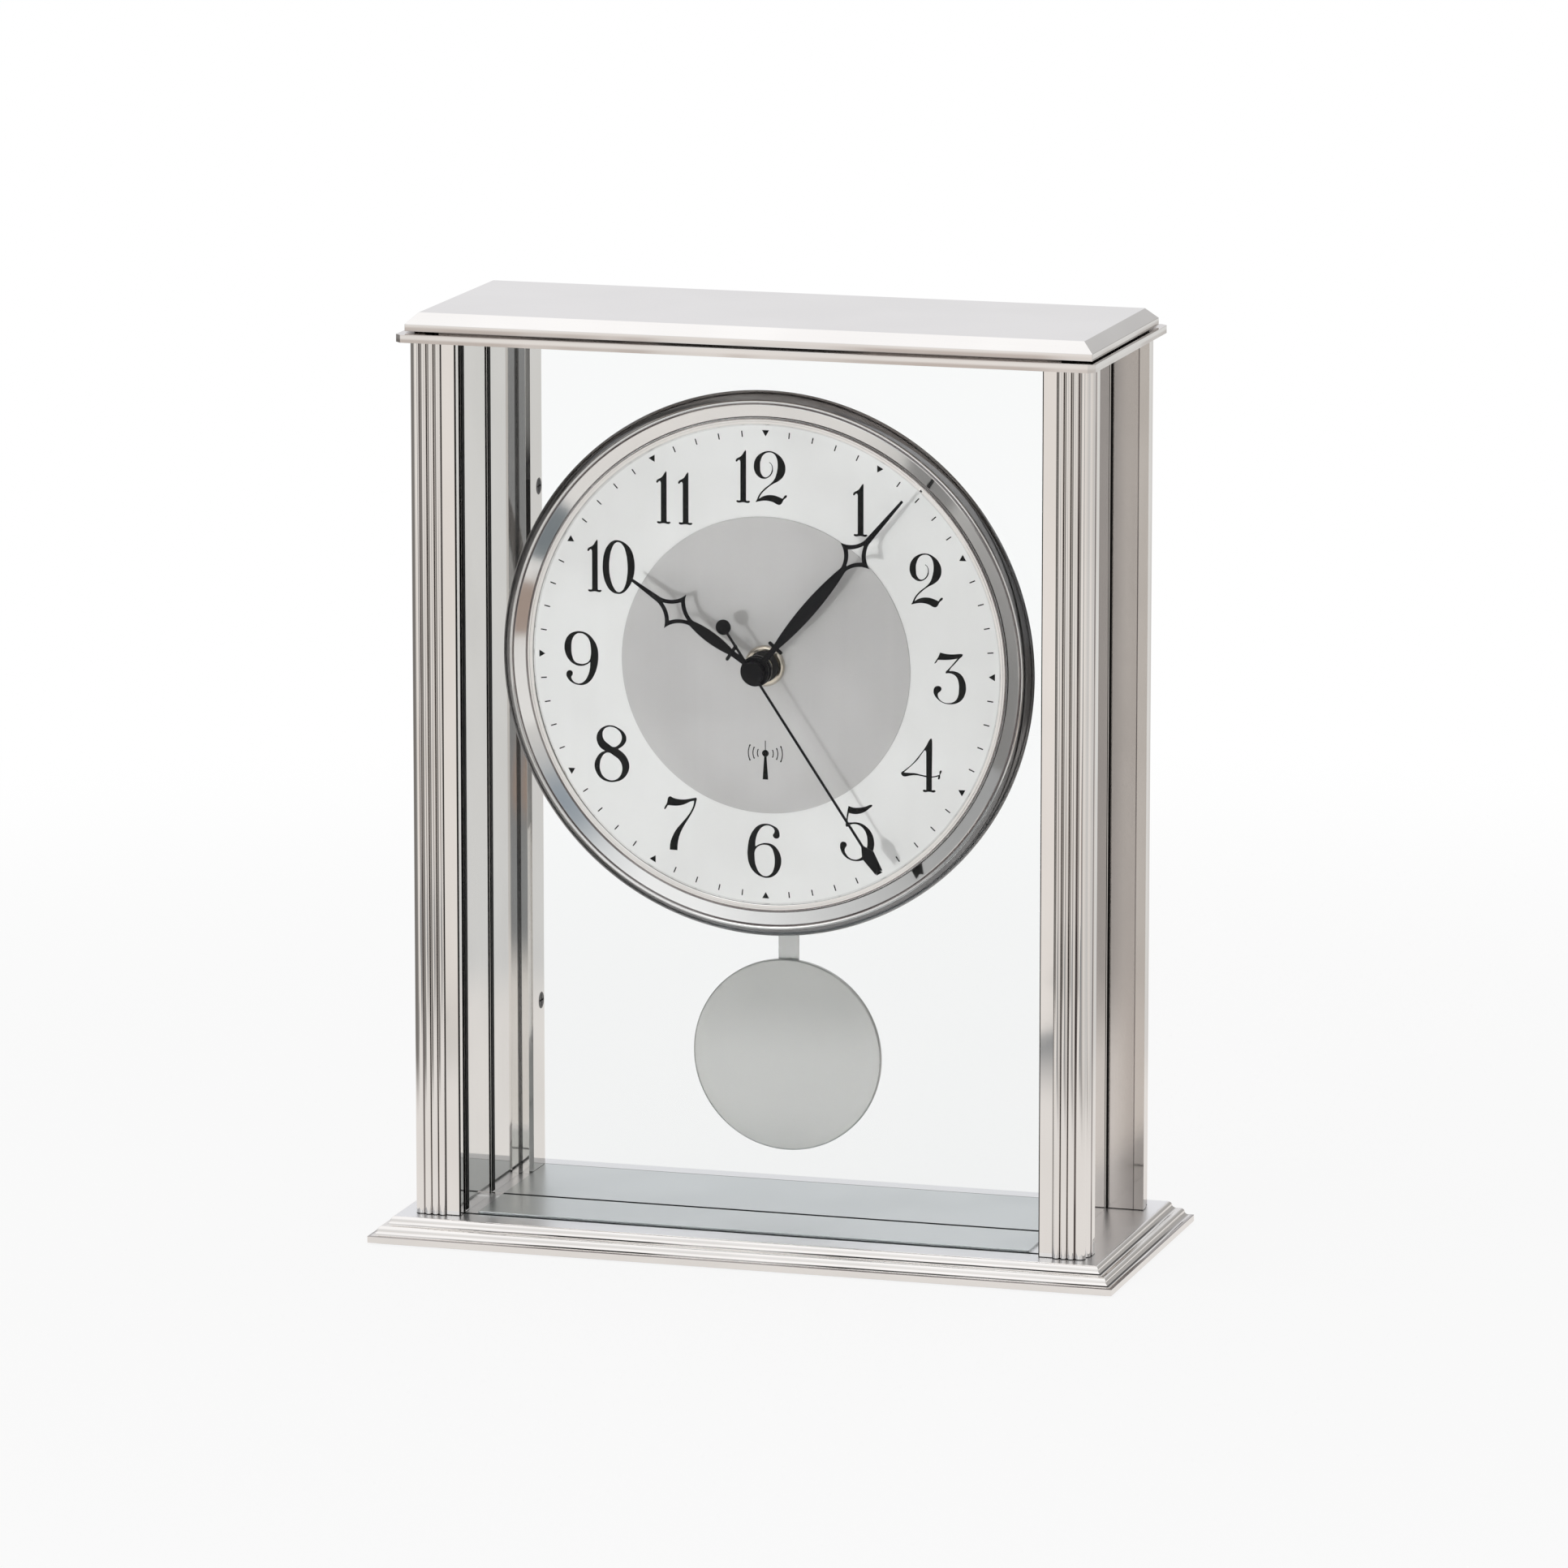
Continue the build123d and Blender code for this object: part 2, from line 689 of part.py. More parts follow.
def bezel():
    """Polished ring: dished band, groove, rim and a wall that widens to the back."""
    lip_front = dial_front - bezel_lip
    band_in = (bezel_bore, lip_front)
    band_out = (band_outer_radius, lip_front)
    band_middle = ((bezel_bore + band_outer_radius) / 2, lip_front + band_hollow)
    rim_foot = (band_outer_radius + rim_groove, lip_front + rim_groove)
    rim_top = ((rim_foot[0] + rim_radius) / 2, lip_front - rim_height)
    rim_edge = (rim_radius, lip_front + rim_height)
    back = lip_front + bezel_depth
    wall_back = (bezel_back_radius - bezel_wall, back)
    wall_front = (rim_radius - bezel_wall, dial_front + rim_groove)
    seat_radius = dial_radius + fit_gap
    edges = [ThreePointArc(band_in, band_middle, band_out)]
    edges.append(Line(band_out, rim_foot))
    edges.append(ThreePointArc(rim_foot, rim_top, rim_edge))
    edges.append(Line(rim_edge, (bezel_back_radius, back)))
    edges.append(Line((bezel_back_radius, back), wall_back))
    edges.append(Line(wall_back, wall_front))
    edges.append(Line(wall_front, (seat_radius, wall_front[1])))
    edges.append(Line((seat_radius, wall_front[1]), (seat_radius, dial_front)))
    edges.append(Line((seat_radius, dial_front), (bezel_bore, dial_front)))
    edges.append(Line((bezel_bore, dial_front), band_in))
    save("bezel_ring", spun(edges))


def inner_ring():
    """Narrow stepped ring between the dial's edge and the bezel."""
    front = dial_front - inner_ring_height
    slope = inner_ring_bore + inner_ring_slope
    corners = [
        (inner_ring_bore, dial_front),
        (slope, front),
        (inner_ring_radius, front),
        (inner_ring_radius, dial_front),
    ]
    edges = [Line(corners[i - 1], corners[i]) for i in range(len(corners))]
    save("inner_ring", spun(edges))


def dial():
    """Dial, its brushed middle, the pan behind it and the parts around the neck."""
    bore = neck_radius + neck_clearance
    save("dial_plate", ring(dial_radius, bore, dial_front, dial_back))
    save("dial_centre", ring(dial_centre_radius, bore, centre_front, dial_front))
    wall_lean = (bezel_back_radius - rim_radius) / bezel_depth * pan_thickness
    pan_radius = bezel_back_radius - bezel_wall - wall_lean - pan_edge_gap
    pan = ring(pan_radius, bore, pan_front, pan_back)
    pan += ring(pan_wall_radius, pan_wall_radius - pan_wall_thickness, dial_back, pan_front)
    save("dial_pan", pan)
    save("centre_spacer", ring(spacer_radius, bore, dial_back, pan_front))
    nut = ring(nut_radius, neck_radius + running_gap, nut_front, centre_front)
    rims = nut.edges().filter_by(GeomType.CIRCLE).sort_by(Axis.Y)
    rim = [edge for edge in rims[:2] if edge.radius > neck_radius + nut_chamfer]
    save("hand_nut", chamfer(rim, nut_chamfer))
    rubber = ring(washer_radius, bore, carrier_back, movement_front)
    fibre = ring(washer_radius, bore, pan_back, carrier_front)
    save("neck_washers", rubber, fibre)


# Hands
def closed_outline(corners):
    """A face from corners, each with the point that bends the edge to the next, or None."""
    edges = []
    for index, (corner, bend) in enumerate(corners):
        following = corners[(index + 1) % len(corners)][0]
        if bend is None:
            edges.append(Line(corner, following))
        else:
            edges.append(ThreePointArc(corner, bend, following))
    return make_face(edges)


def star_outline(low, high, span, neck, waist):
    """Four-pointed star with hollow sides; neck is its width where the blade goes on."""
    middle = (low + high) / 2
    reach = (high - low) / 2
    half = span / 2
    end = neck / 2
    bend_x = end + (half - end) * waist[0]
    bend_y = reach * waist[1]
    return closed_outline([
        ((end, low), (bend_x, middle - bend_y)),
        ((half, middle), (bend_x, middle + bend_y)),
        ((end, high), None),
        ((-end, high), (-bend_x, middle + bend_y)),
        ((-half, middle), (-bend_x, middle - bend_y)),
        ((-end, low), None),
    ])


def leaf_blade(nub_place, nub_span, leaf_width, leaf_length, star_length, star_span, tip_length):
    """Pierced hand pointing to twelve: stalk, cross nubs, leaf, open star and long tip."""
    leaf_end = nub_place + leaf_length
    star_end = leaf_end + star_length
    length = star_end + tip_length
    half_stalk = hand_stalk_width / 2
    half_nub = hand_nub_thickness / 2
    blade = Pos(0, nub_place / 2) * Rectangle(hand_stalk_width, nub_place)
    blade += Pos(0, nub_place) * SlotOverall(nub_span, 2 * half_nub)
    belly = nub_place + (leaf_end - nub_place) * leaf_belly_share
    blade += closed_outline([
        ((half_stalk, nub_place), (leaf_width / 2, belly)),
        ((half_stalk, leaf_end), None),
        ((-half_stalk, leaf_end), (-leaf_width / 2, belly)),
        ((-half_stalk, nub_place), None),
    ])
    star = star_outline(leaf_end, star_end, star_span, hand_stalk_width, star_waist_share)
    window_span = star_span - 2 * star_tip_length
    star -= star_outline(
        leaf_end + star_end_wall, star_end - star_end_wall, window_span,
        star_window_neck, window_waist_share,
    )
    blade += star
    half_tip = hand_tip_width / 2
    blade += closed_outline([
        ((half_stalk, star_end), None),
        ((half_tip, length), None),
        ((-half_tip, length), None),
        ((-half_stalk, star_end), None),
    ])
    return blade


def second_blade():
    """Thin sweep hand with a round counterweight and a fish-tail arrow."""
    start = second_length - second_arrow_length
    half_line = second_width / 2
    half_arrow = second_arrow_width / 2
    half_barb = second_barb_width / 2
    middle = (start - second_tail_length) / 2
    blade = Pos(0, middle) * Rectangle(second_width, start + second_tail_length)
    blade += Pos(0, -second_tail_length) * Circle(second_tail_radius)
    waist = start + second_barb_setback
    blade += closed_outline([
        ((half_line, start - second_barb_setback), None),
        ((half_barb, waist), None),
        ((half_arrow, second_length), None),
        ((0, second_length - second_notch), None),
        ((-half_arrow, second_length), None),
        ((-half_barb, waist), None),
        ((-half_line, start - second_barb_setback), None),
    ])
    return blade


def set_hand(shape, angle):
    """Turn a hand from twelve to its place and lift it to the dial's middle."""
    return Pos(0, 0, head_height) * Rot(0, angle, 0) * shape


def hands():
    """The three hands at the time shown."""
    hour = plate_xz(
        leaf_blade(
            hour_nub_place, hour_nub_span, hour_leaf_width, hour_leaf_length,
            hour_star_length, hour_star_span, hour_tip_length,
        ),
        hour_front, hour_front + hand_thickness,
    )
    hour += turned(hour_collar_radius, hour_front, hour_front + hour_collar_length)
    hour -= turned(hour_pipe_radius, hour_front - overrun, hour_front + hour_collar_length + overrun)
    save("hour_hand", set_hand(hour, hour_hand_angle))

    minute = plate_xz(
        leaf_blade(
            minute_nub_place, minute_nub_span, minute_leaf_width, minute_leaf_length,
            minute_star_length, minute_star_span, minute_tip_length,
        ),
        minute_front, minute_front + hand_thickness,
    )
    collar_back = minute_front + minute_collar_length
    minute += turned(minute_collar_radius, minute_front, collar_back)
    minute -= turned(minute_pipe_radius, minute_front - overrun, collar_back + overrun)
    save("minute_hand", set_hand(minute, minute_hand_angle))

    blade_back = second_blade_front + second_blade_thickness
    second = plate_xz(second_blade(), second_blade_front, blade_back)
    boss_back = boss_front + second_boss_length
    second += turned(second_boss_radius, boss_front, boss_back)
    second -= turned(second_shaft_radius, second_blade_front, boss_back + overrun)
    save("second_hand", set_hand(second, second_hand_angle))


# Wheels
def toothed(teeth, module, phase):
    """Outline of a wheel with straight-sided teeth; a tooth points along phase, in degrees."""
    pitch_radius = teeth * module / 2
    root = pitch_radius - tooth_foot_share * module
    tip = pitch_radius + tooth_height_share * module
    step = 2 * math.pi / teeth
    corners = []
    for tooth in range(teeth):
        middle = math.radians(phase) + tooth * step
        for radius, share in (
            (root, -tooth_root_share), (tip, -tooth_tip_share),
            (tip, tooth_tip_share), (root, tooth_root_share),
        ):
            angle = middle + share * step
            corners.append((radius * math.cos(angle), radius * math.sin(angle)))
    return make_face(Polyline(*corners, close=True))


def wheel(teeth, module, phase, front, thickness, x=0, z=0):
    """A toothed wheel whose middle lies at x, z beside the dial's middle axis."""
    outline = Pos(x, head_height + z) * toothed(teeth, module, phase)
    return plate_xz(outline, front, front + thickness)


def pipe(radius, front, back, x=0, z=0):
    """A round length beside the dial's middle axis."""
    return turned(radius, front, back, x, head_height + z)


def centre_wheels():
    """Hour, minute and second wheels with the pipes and the shaft that carry the hands."""
    hour = wheel(hour_teeth, wheel_module, 180, hour_layer, wheel_thickness)
    hour += pipe(hour_pipe_radius, hour_front, hour_layer)
    hour -= pipe(minute_pipe_radius + running_gap, hour_front - overrun, motion_layer)
    save("hour_wheel", hour)

    minute = wheel(wheel_teeth, wheel_module, 0, minute_layer, wheel_thickness)
    minute += wheel(minute_pinion_teeth, motion_module, 180, motion_layer, wheel_thickness)
    minute += pipe(minute_pipe_radius, minute_front, minute_layer)
    minute -= pipe(second_shaft_radius + running_gap, minute_front - overrun, second_layer)
    save("minute_wheel", minute)

    second = wheel(wheel_teeth, wheel_module, -90, second_layer, wheel_thickness)
    second += pipe(minute_pipe_radius, second_layer - wheel_layer_gap, second_layer)
    shaft_back = cover_front + bearing_depth - fit_gap
    second += pipe(second_shaft_radius, second_blade_front, shaft_back)
    save("second_wheel", second)


def motion_wheel():
    """Double wheel between the minute pinion and the hour wheel, on a fixed stud."""
    gap_phase = 180 / motion_wheel_teeth
    pinion_phase = 180 / motion_pinion_teeth
    body = wheel(
        motion_wheel_teeth, motion_module, gap_phase, motion_layer, wheel_thickness, -motion_reach
    )
    body += wheel(
        motion_pinion_teeth, wheel_module, pinion_phase, hour_layer,
        wheel_thickness + wheel_layer_gap, -motion_reach,
    )
    bore_back = motion_layer + wheel_thickness + overrun
    body -= pipe(stud_radius + running_gap, hour_layer - overrun, bore_back, -motion_reach)
    save("motion_wheel", body)


def rotor(x, z, phase, pinion_front, magnet_front):
    """Motor rotor: arbor in both bearings, pinion and round magnet."""
    front = movement_floor - bearing_depth + fit_gap
    back = cover_front + bearing_depth - fit_gap
    body = pipe(arbor_radius, front, back, x, z)
    body += wheel(rotor_teeth, wheel_module, phase, pinion_front, wheel_thickness, x, z)
    body += pipe(magnet_radius, magnet_front, magnet_front + magnet_length, x, z)
    return body


def motors():
    """Two stepping motors, one for the minute wheel and one for the second wheel."""
    half_tooth = 180 / rotor_teeth
    minute_magnet = hour_layer
    minute = rotor(rotor_reach, 0, 180 + half_tooth, minute_layer, minute_magnet)
    save("minute_rotor", minute)
    second = rotor(0, -rotor_reach, 90 + half_tooth, second_layer, second_magnet_front)
    save("second_rotor", second)

    coil_y = movement_floor + stator_gap + motor_coil_radius
    coil_x = movement_inner_x - stator_gap - motor_coil_radius
    plate_x = coil_x - motor_coil_radius
    minute_plate = pipe(
        stator_radius, minute_magnet, minute_magnet + stator_thickness, rotor_reach
    )
    minute_plate += block(
        (rotor_reach, plate_x), (minute_magnet, minute_magnet + stator_thickness),
        (head_height - magnet_radius, head_height + magnet_radius),
    )
    cut = (minute_magnet - overrun, minute_magnet + stator_thickness + overrun)
    minute_plate -= pipe(stator_bore, *cut, rotor_reach)

    second_coil_y = cover_front - stator_gap - motor_coil_radius
    plate_back = second_magnet_front + stator_thickness
    second_plate = pipe(stator_radius, second_magnet_front, plate_back, 0, -rotor_reach)
    cut = (second_magnet_front - overrun, plate_back + overrun)
    second_plate -= pipe(stator_bore, *cut, 0, -rotor_reach)
    save("motor_stators", minute_plate, second_plate)

    half = motor_coil_length / 2
    core = half - motor_coil_flange
    inner = motor_coil_radius - motor_coil_flange / 2
    upright_coil = upright(inner, head_height - core, head_height + core, coil_x, coil_y)
    for side in (-1, 1):
        ends = sorted((side * core, side * half))
        upright_coil += upright(
            motor_coil_radius, head_height + ends[0], head_height + ends[1], coil_x, coil_y
        )
    lying_z = head_height - lying_coil_drop
    lying_coil = lengthwise(inner, -core, core, second_coil_y, lying_z)
    for side in (-1, 1):
        ends = sorted((side * core, side * half))
        lying_coil += lengthwise(motor_coil_radius, *ends, second_coil_y, lying_z)
    save("motor_coils", upright_coil, lying_coil)


# Movement case
def post_places():
    """Corners of the lower case, where the cover is screwed on."""
    x = movement_width / 2 - cover_post_inset
    low = movement_low + cover_post_inset
    high = bay_low - movement_wall - cover_post_inset
    return [(side * x, z) for side in (-1, 1) for z in (low, high)]


def movement_case():
    """Front shell of the movement with battery bay, threaded neck, posts and stud."""
    half = movement_width / 2
    divider_low = bay_low - movement_wall
    shell = block((-half, half), (movement_front, cover_front), (movement_low, bay_low))
    shell += block((-half, half), (movement_front, bay_back), (divider_low, movement_high))
    inner = (-movement_inner_x, movement_inner_x)
    work_low = movement_low + movement_wall
    shell -= block(inner, (movement_floor, cover_front + overrun), (work_low, divider_low))
    bay_high = movement_high - movement_wall
    shell -= block(inner, (movement_floor, bay_back + overrun), (bay_low, bay_high))
    for x, z in post_places():
        shell += turned(cover_post_radius, movement_floor, cover_front, x, z)
        tip = cover_front - cover_screw_length + cover_thickness
        hole = cover_screw_radius + running_gap
        shell -= turned(hole, tip - fit_gap, cover_front + overrun, x, z)
    shell += pipe(neck_radius, neck_front, movement_front)
    shell -= pipe(hour_pipe_radius + running_gap, neck_front - overrun, movement_floor + overrun)
    stud_back = motion_layer + wheel_thickness
    shell += pipe(stud_radius, movement_floor, stud_back, -motion_reach)
    for x, z in ((rotor_reach, 0), (0, -rotor_reach)):
        hole_front = movement_floor - bearing_depth
        shell -= pipe(arbor_radius + running_gap, hole_front, movement_floor + overrun, x, z)
    board_x = board_width / 2 - board_post_inset
    for x in (-board_x, board_x):
        for z in (board_low + board_post_inset, board_high - board_post_inset):
            shell += turned(
                board_post_radius, movement_floor, movement_floor + board_standoff, x, z
            )
    save("movement_case", shell)


def movement_cover():
    """Rear cover of the movement with bearings, button holes and the pendulum's pin."""
    half = movement_width / 2
    cover = block((-half, half), (cover_front, cover_back), (movement_low, bay_low - movement_wall))
    cover += turned(
        pivot_boss_radius, cover_front, cover_back + pivot_boss_height, z=pivot_height
    )
    bearing_back = cover_front + bearing_depth
    for radius, x, z in (
        (second_shaft_radius, 0, 0), (arbor_radius, rotor_reach, 0), (arbor_radius, 0, -rotor_reach)
    ):
        cover -= pipe(radius + running_gap, cover_front - overrun, bearing_back, x, z)
    for z in button_heights:
        hole = button_radius + button_hole_gap
        cover -= turned(hole, cover_front - overrun, cover_back + overrun, button_place, z)
    screws = []
    for x, z in post_places():
        hole = cover_screw_radius + fit_gap
        cover -= turned(hole, cover_front - overrun, cover_back + overrun, x, z)
        head_back = cover_back + cover_screw_head_height
        screw = turned(cover_screw_head_radius, cover_back, head_back, x, z)
        screw += turned(cover_screw_radius, cover_back - cover_screw_length, cover_back, x, z)
        reach = cover_screw_head_radius - recess_width
        half_slot = recess_width / 2
        slot_y = (head_back - recess_depth, head_back + overrun)
        screw -= block((x - reach, x + reach), slot_y, (z - half_slot, z + half_slot))
        screw -= block((x - half_slot, x + half_slot), slot_y, (z - reach, z + reach))
        screws.append(screw)
    pin_front = cover_back - pivot_pin_grip
    cover -= turned(
        pivot_pin_radius, pin_front, cover_back + pivot_boss_height + overrun, z=pivot_height
    )
    save("movement_cover", cover)
    save("cover_screws", *screws)
    hub_back = arm_front + arm_hub_length
    head_front = hub_back + fit_gap
    pin = turned(pivot_pin_radius, pin_front, head_front, z=pivot_height)
    pin += turned(
        pivot_head_radius, head_front, head_front + pivot_head_thickness, z=pivot_height
    )
    save("pivot_pin", pin)


def battery():
    """Round cell lying in the bay and the contact plates at its two ends."""
    plus_face = movement_inner_x - contact_thickness
    body_right = plus_face - battery_nub_length
    body_left = body_right - battery_body_length
    cell = lengthwise(battery_radius, body_left, body_right, battery_y, battery_z)
    cell += lengthwise(battery_nub_radius, body_right, plus_face, battery_y, battery_z)
    save("battery", cell)
    half = contact_height / 2
    span_y = (battery_y - half, battery_y + half)
    span_z = (battery_z - half, battery_z + half)
    plus = block((plus_face, movement_inner_x), span_y, span_z)
    minus_face = contact_thickness - movement_inner_x
    minus = block((-movement_inner_x, minus_face), span_y, span_z)
    minus += lengthwise(contact_dome_radius, minus_face, body_left, battery_y, battery_z)
    save("battery_contacts", plus, minus)


def electronics():
    """Circuit board, button switches, receiving antenna and the coil that drives the pendulum."""
    board_front = movement_floor + board_standoff
    board_back = board_front + board_thickness
    half = board_width / 2
    board = block((-half, half), (board_front, board_back), (board_low, board_high))
    chip_z = (board_low + board_high) / 2
    chip_right = -motor_coil_length / 2 - chip_gap
    chip_span = (chip_right - chip_width, chip_right)
    chip_rows = (chip_z - chip_width / 2, chip_z + chip_width / 2)
    board += block(chip_span, (board_back, board_back + chip_height), chip_rows)
    save("circuit_board", board)
    stem_end = cover_front - fit_gap - button_flange_thickness - button_stem_length
    nub_back = stem_end - button_travel - switch_clearance
    reach = switch_width / 2
    switches = []
    for z in button_heights:
        body = block(
            (button_place - reach, button_place + reach),
            (board_back, board_back + switch_height), (z - reach, z + reach),
        )
        nub_front = board_back + switch_height
        switches.append(body + turned(switch_nub_radius, nub_front, nub_back, button_place, z))
    save("tact_switches", *switches)
    antenna_y = movement_floor + antenna_gap + antenna_coil_radius
    reach = movement_width / 2 - cover_post_inset - cover_post_radius - antenna_end_gap
    rod = lengthwise(antenna_radius, -reach, reach, antenna_y, antenna_height)
    rod += lengthwise(
        antenna_coil_radius, -antenna_coil_length / 2, antenna_coil_length / 2,
        antenna_y, antenna_height,
    )
    save("antenna", rod)
    coil_back = cover_front - fit_gap
    coil_front = coil_back - drive_coil_length
    coil = turned(drive_coil_radius, coil_front, coil_back, z=drive_coil_height)
    coil -= turned(
        drive_coil_bore, coil_front - overrun, coil_back + overrun, z=drive_coil_height
    )
    save("drive_coil", coil)


def buttons():
    """Three sprung push buttons through the rear cover."""
    flange_back = cover_front - fit_gap
    flange_front = flange_back - button_flange_thickness
    stem_front = flange_front - button_stem_length
    for name, z in zip(button_names, button_heights):
        body = turned(button_radius, flange_back, cover_back + button_stand_out, button_place, z)
        body += turned(button_flange_radius, flange_front, flange_back, button_place, z)
        body += turned(button_stem_radius, stem_front, flange_front, button_place, z)
        save(name, body)


# Pendulum
def pendulum():
    """Swinging arm with its magnet, flat rod, round bob and the clips on its back."""
    hub_back = arm_front + arm_hub_length
    half_arm = arm_width / 2
    arm = block((-half_arm, half_arm), (arm_front, arm_back), (arm_low, pivot_height))
    arm += turned(arm_hub_radius, arm_front, hub_back, z=pivot_height)
    pad_radius = drive_magnet_radius + arm_magnet_ring
    arm += turned(pad_radius, arm_front, arm_back, z=drive_coil_height)
    arm -= turned(
        pivot_pin_radius + running_gap, arm_front - overrun, hub_back + overrun, z=pivot_height
    )
    pocket_back = arm_front + drive_magnet_thickness + running_gap
    arm -= turned(
        drive_magnet_radius + running_gap, arm_front - overrun, pocket_back, z=drive_coil_height
    )
    hook_z = arm_low + rod_hook_drop
    arm += turned(rod_hook_radius, arm_back - running_gap, arm_back + rod_hook_stand_out, z=hook_z)
    save("pendulum_arm", arm)
    magnet_back = arm_front + drive_magnet_thickness
    save("drive_magnet", turned(drive_magnet_radius, arm_front, magnet_back, z=drive_coil_height))

    half_rod = pendulum_rod_width / 2
    rod_low = bob_height - bob_radius + rod_end_lift
    rod = block((-half_rod, half_rod), (arm_back, rod_back), (rod_low, arm_low + rod_top_cover))
    rod -= turned(
        rod_hook_radius + running_gap, arm_back - overrun, rod_back + overrun, z=hook_z
    )
    save("pendulum_rod", rod)

    bob = turned(bob_radius, bob_front, arm_back, z=bob_height)
    bob = fillet(bob.edges().filter_by(GeomType.CIRCLE), bob_edge)
    save("pendulum_bob", bob)
    clips = []
    half_clip = clip_width / 2
    for side in (-1, 1):
        z = bob_height + side * clip_spread / 2
        rows = (z - clip_height / 2, z + clip_height / 2)
        clip = block((-half_clip, half_clip), (arm_back, rod_back + clip_wall), rows)
        gap = half_rod + running_gap
        clip -= block((-gap, gap), (arm_back - overrun, rod_back + running_gap), (0, pivot_height))
        clips.append(clip)
    save("bob_clips", *clips)


base()
pillars()
sides()
strips()
cap()
panes()
bezel()
inner_ring()
dial()
hands()
centre_wheels()
motion_wheel()
motors()
movement_case()
movement_cover()
battery()
electronics()
buttons()
pendulum()
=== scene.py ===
import json
import math

import bmesh
import bpy
from mathutils import Matrix, Vector


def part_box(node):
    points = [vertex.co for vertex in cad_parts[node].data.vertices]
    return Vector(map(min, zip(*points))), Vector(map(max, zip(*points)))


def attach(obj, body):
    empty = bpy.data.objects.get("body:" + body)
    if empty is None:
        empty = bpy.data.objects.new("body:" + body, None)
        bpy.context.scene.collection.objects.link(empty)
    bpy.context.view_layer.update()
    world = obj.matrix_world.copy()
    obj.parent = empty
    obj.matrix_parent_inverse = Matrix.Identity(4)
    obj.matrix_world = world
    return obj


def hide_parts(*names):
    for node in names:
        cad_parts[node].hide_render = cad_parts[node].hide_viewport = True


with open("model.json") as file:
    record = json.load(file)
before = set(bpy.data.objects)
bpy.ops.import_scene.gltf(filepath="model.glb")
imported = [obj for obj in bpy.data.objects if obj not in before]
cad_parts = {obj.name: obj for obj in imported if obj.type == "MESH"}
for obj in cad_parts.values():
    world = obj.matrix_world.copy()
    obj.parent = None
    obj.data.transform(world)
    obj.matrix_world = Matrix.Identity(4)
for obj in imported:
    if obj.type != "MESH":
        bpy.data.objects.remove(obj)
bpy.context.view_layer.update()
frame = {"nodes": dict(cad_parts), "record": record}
record = frame["record"]
bodyOfNode = {node: body for body, members in record["behaviour"]["bodies"].items() for node in members}
slotOfNode = {part["node"]: part["material_slot"] for part in record["subparts"]}
millimetre = 0.001
print("frame loaded:", len(frame["nodes"]), "nodes")


# Shader maths: a socket that can be used in sums
class Wire:
    def __init__(self, tree, socket=None):
        self.tree = tree
        self.socket = socket

    def node(self, kind, settings=None, sockets=None, out=0):
        made = self.tree.nodes.new(kind)
        for name, value in (settings or {}).items():
            if name == "stops":
                self.fillRamp(made.color_ramp, value)
            else:
                setattr(made, name, value)
        for name, value in (sockets or {}).items():
            if isinstance(value, Wire):
                self.tree.links.new(value.socket, made.inputs[name])
            else:
                made.inputs[name].default_value = value
        return Wire(self.tree, made.outputs[out] if made.outputs else None)

    def fillRamp(self, ramp, stops):
        while len(ramp.elements) < len(stops):
            ramp.elements.new(1.0)
        for element, (place, colour) in zip(ramp.elements, stops):
            element.position = place
            element.color = colour

    def maths(self, operation, first, second):
        return self.node("ShaderNodeMath", {"operation": operation}, {0: first, 1: second})

    def __add__(self, other):
        return self.maths("ADD", self, other)

    def __radd__(self, other):
        return self.maths("ADD", other, self)

    def __sub__(self, other):
        return self.maths("SUBTRACT", self, other)

    def __rsub__(self, other):
        return self.maths("SUBTRACT", other, self)

    def __mul__(self, other):
        return self.maths("MULTIPLY", self, other)

    def __rmul__(self, other):
        return self.maths("MULTIPLY", other, self)

    def __gt__(self, other):
        return self.maths("GREATER_THAN", self, other)

    def step(self, low, high):
        sockets = {"Value": self, "From Min": low, "From Max": high}
        return self.node("ShaderNodeMapRange", {"interpolation_type": "SMOOTHSTEP"}, sockets)

    def axes(self):
        made = self.tree.nodes.new("ShaderNodeSeparateXYZ")
        self.tree.links.new(self.socket, made.inputs[0])
        return [Wire(self.tree, made.outputs[i]) for i in range(3)]

    def place(self, scale=(1, 1, 1), turn=(0, 0, 0), move=(0, 0, 0)):
        point = self.node("ShaderNodeTexCoord", out=3)
        sockets = {"Vector": point, "Location": move, "Rotation": turn, "Scale": scale}
        return self.node("ShaderNodeMapping", {"vector_type": "POINT"}, sockets)

    def noise(self, point, scale, detail=3.0, rough=0.5):
        sockets = {"Vector": point, "Scale": scale, "Detail": detail, "Roughness": rough}
        return self.node("ShaderNodeTexNoise", None, sockets)

    def mix(self, factor, first, second):
        sockets = {0: factor, 6: first, 7: second}
        return self.node("ShaderNodeMix", {"data_type": "RGBA"}, sockets, out=2)

    def bump(self, height, distance):
        sockets = {"Height": height, "Distance": distance, "Strength": 1.0}
        return self.node("ShaderNodeBump", None, sockets)


def newMaterial(name):
    material = bpy.data.materials.new(name)
    material.use_nodes = True
    material.node_tree.nodes.clear()
    return material, Wire(material.node_tree)


def closeMaterial(material, wire, sockets):
    shader = wire.node("ShaderNodeBsdfPrincipled", None, sockets)
    wire.node("ShaderNodeOutputMaterial", None, {"Surface": shader})
    return material


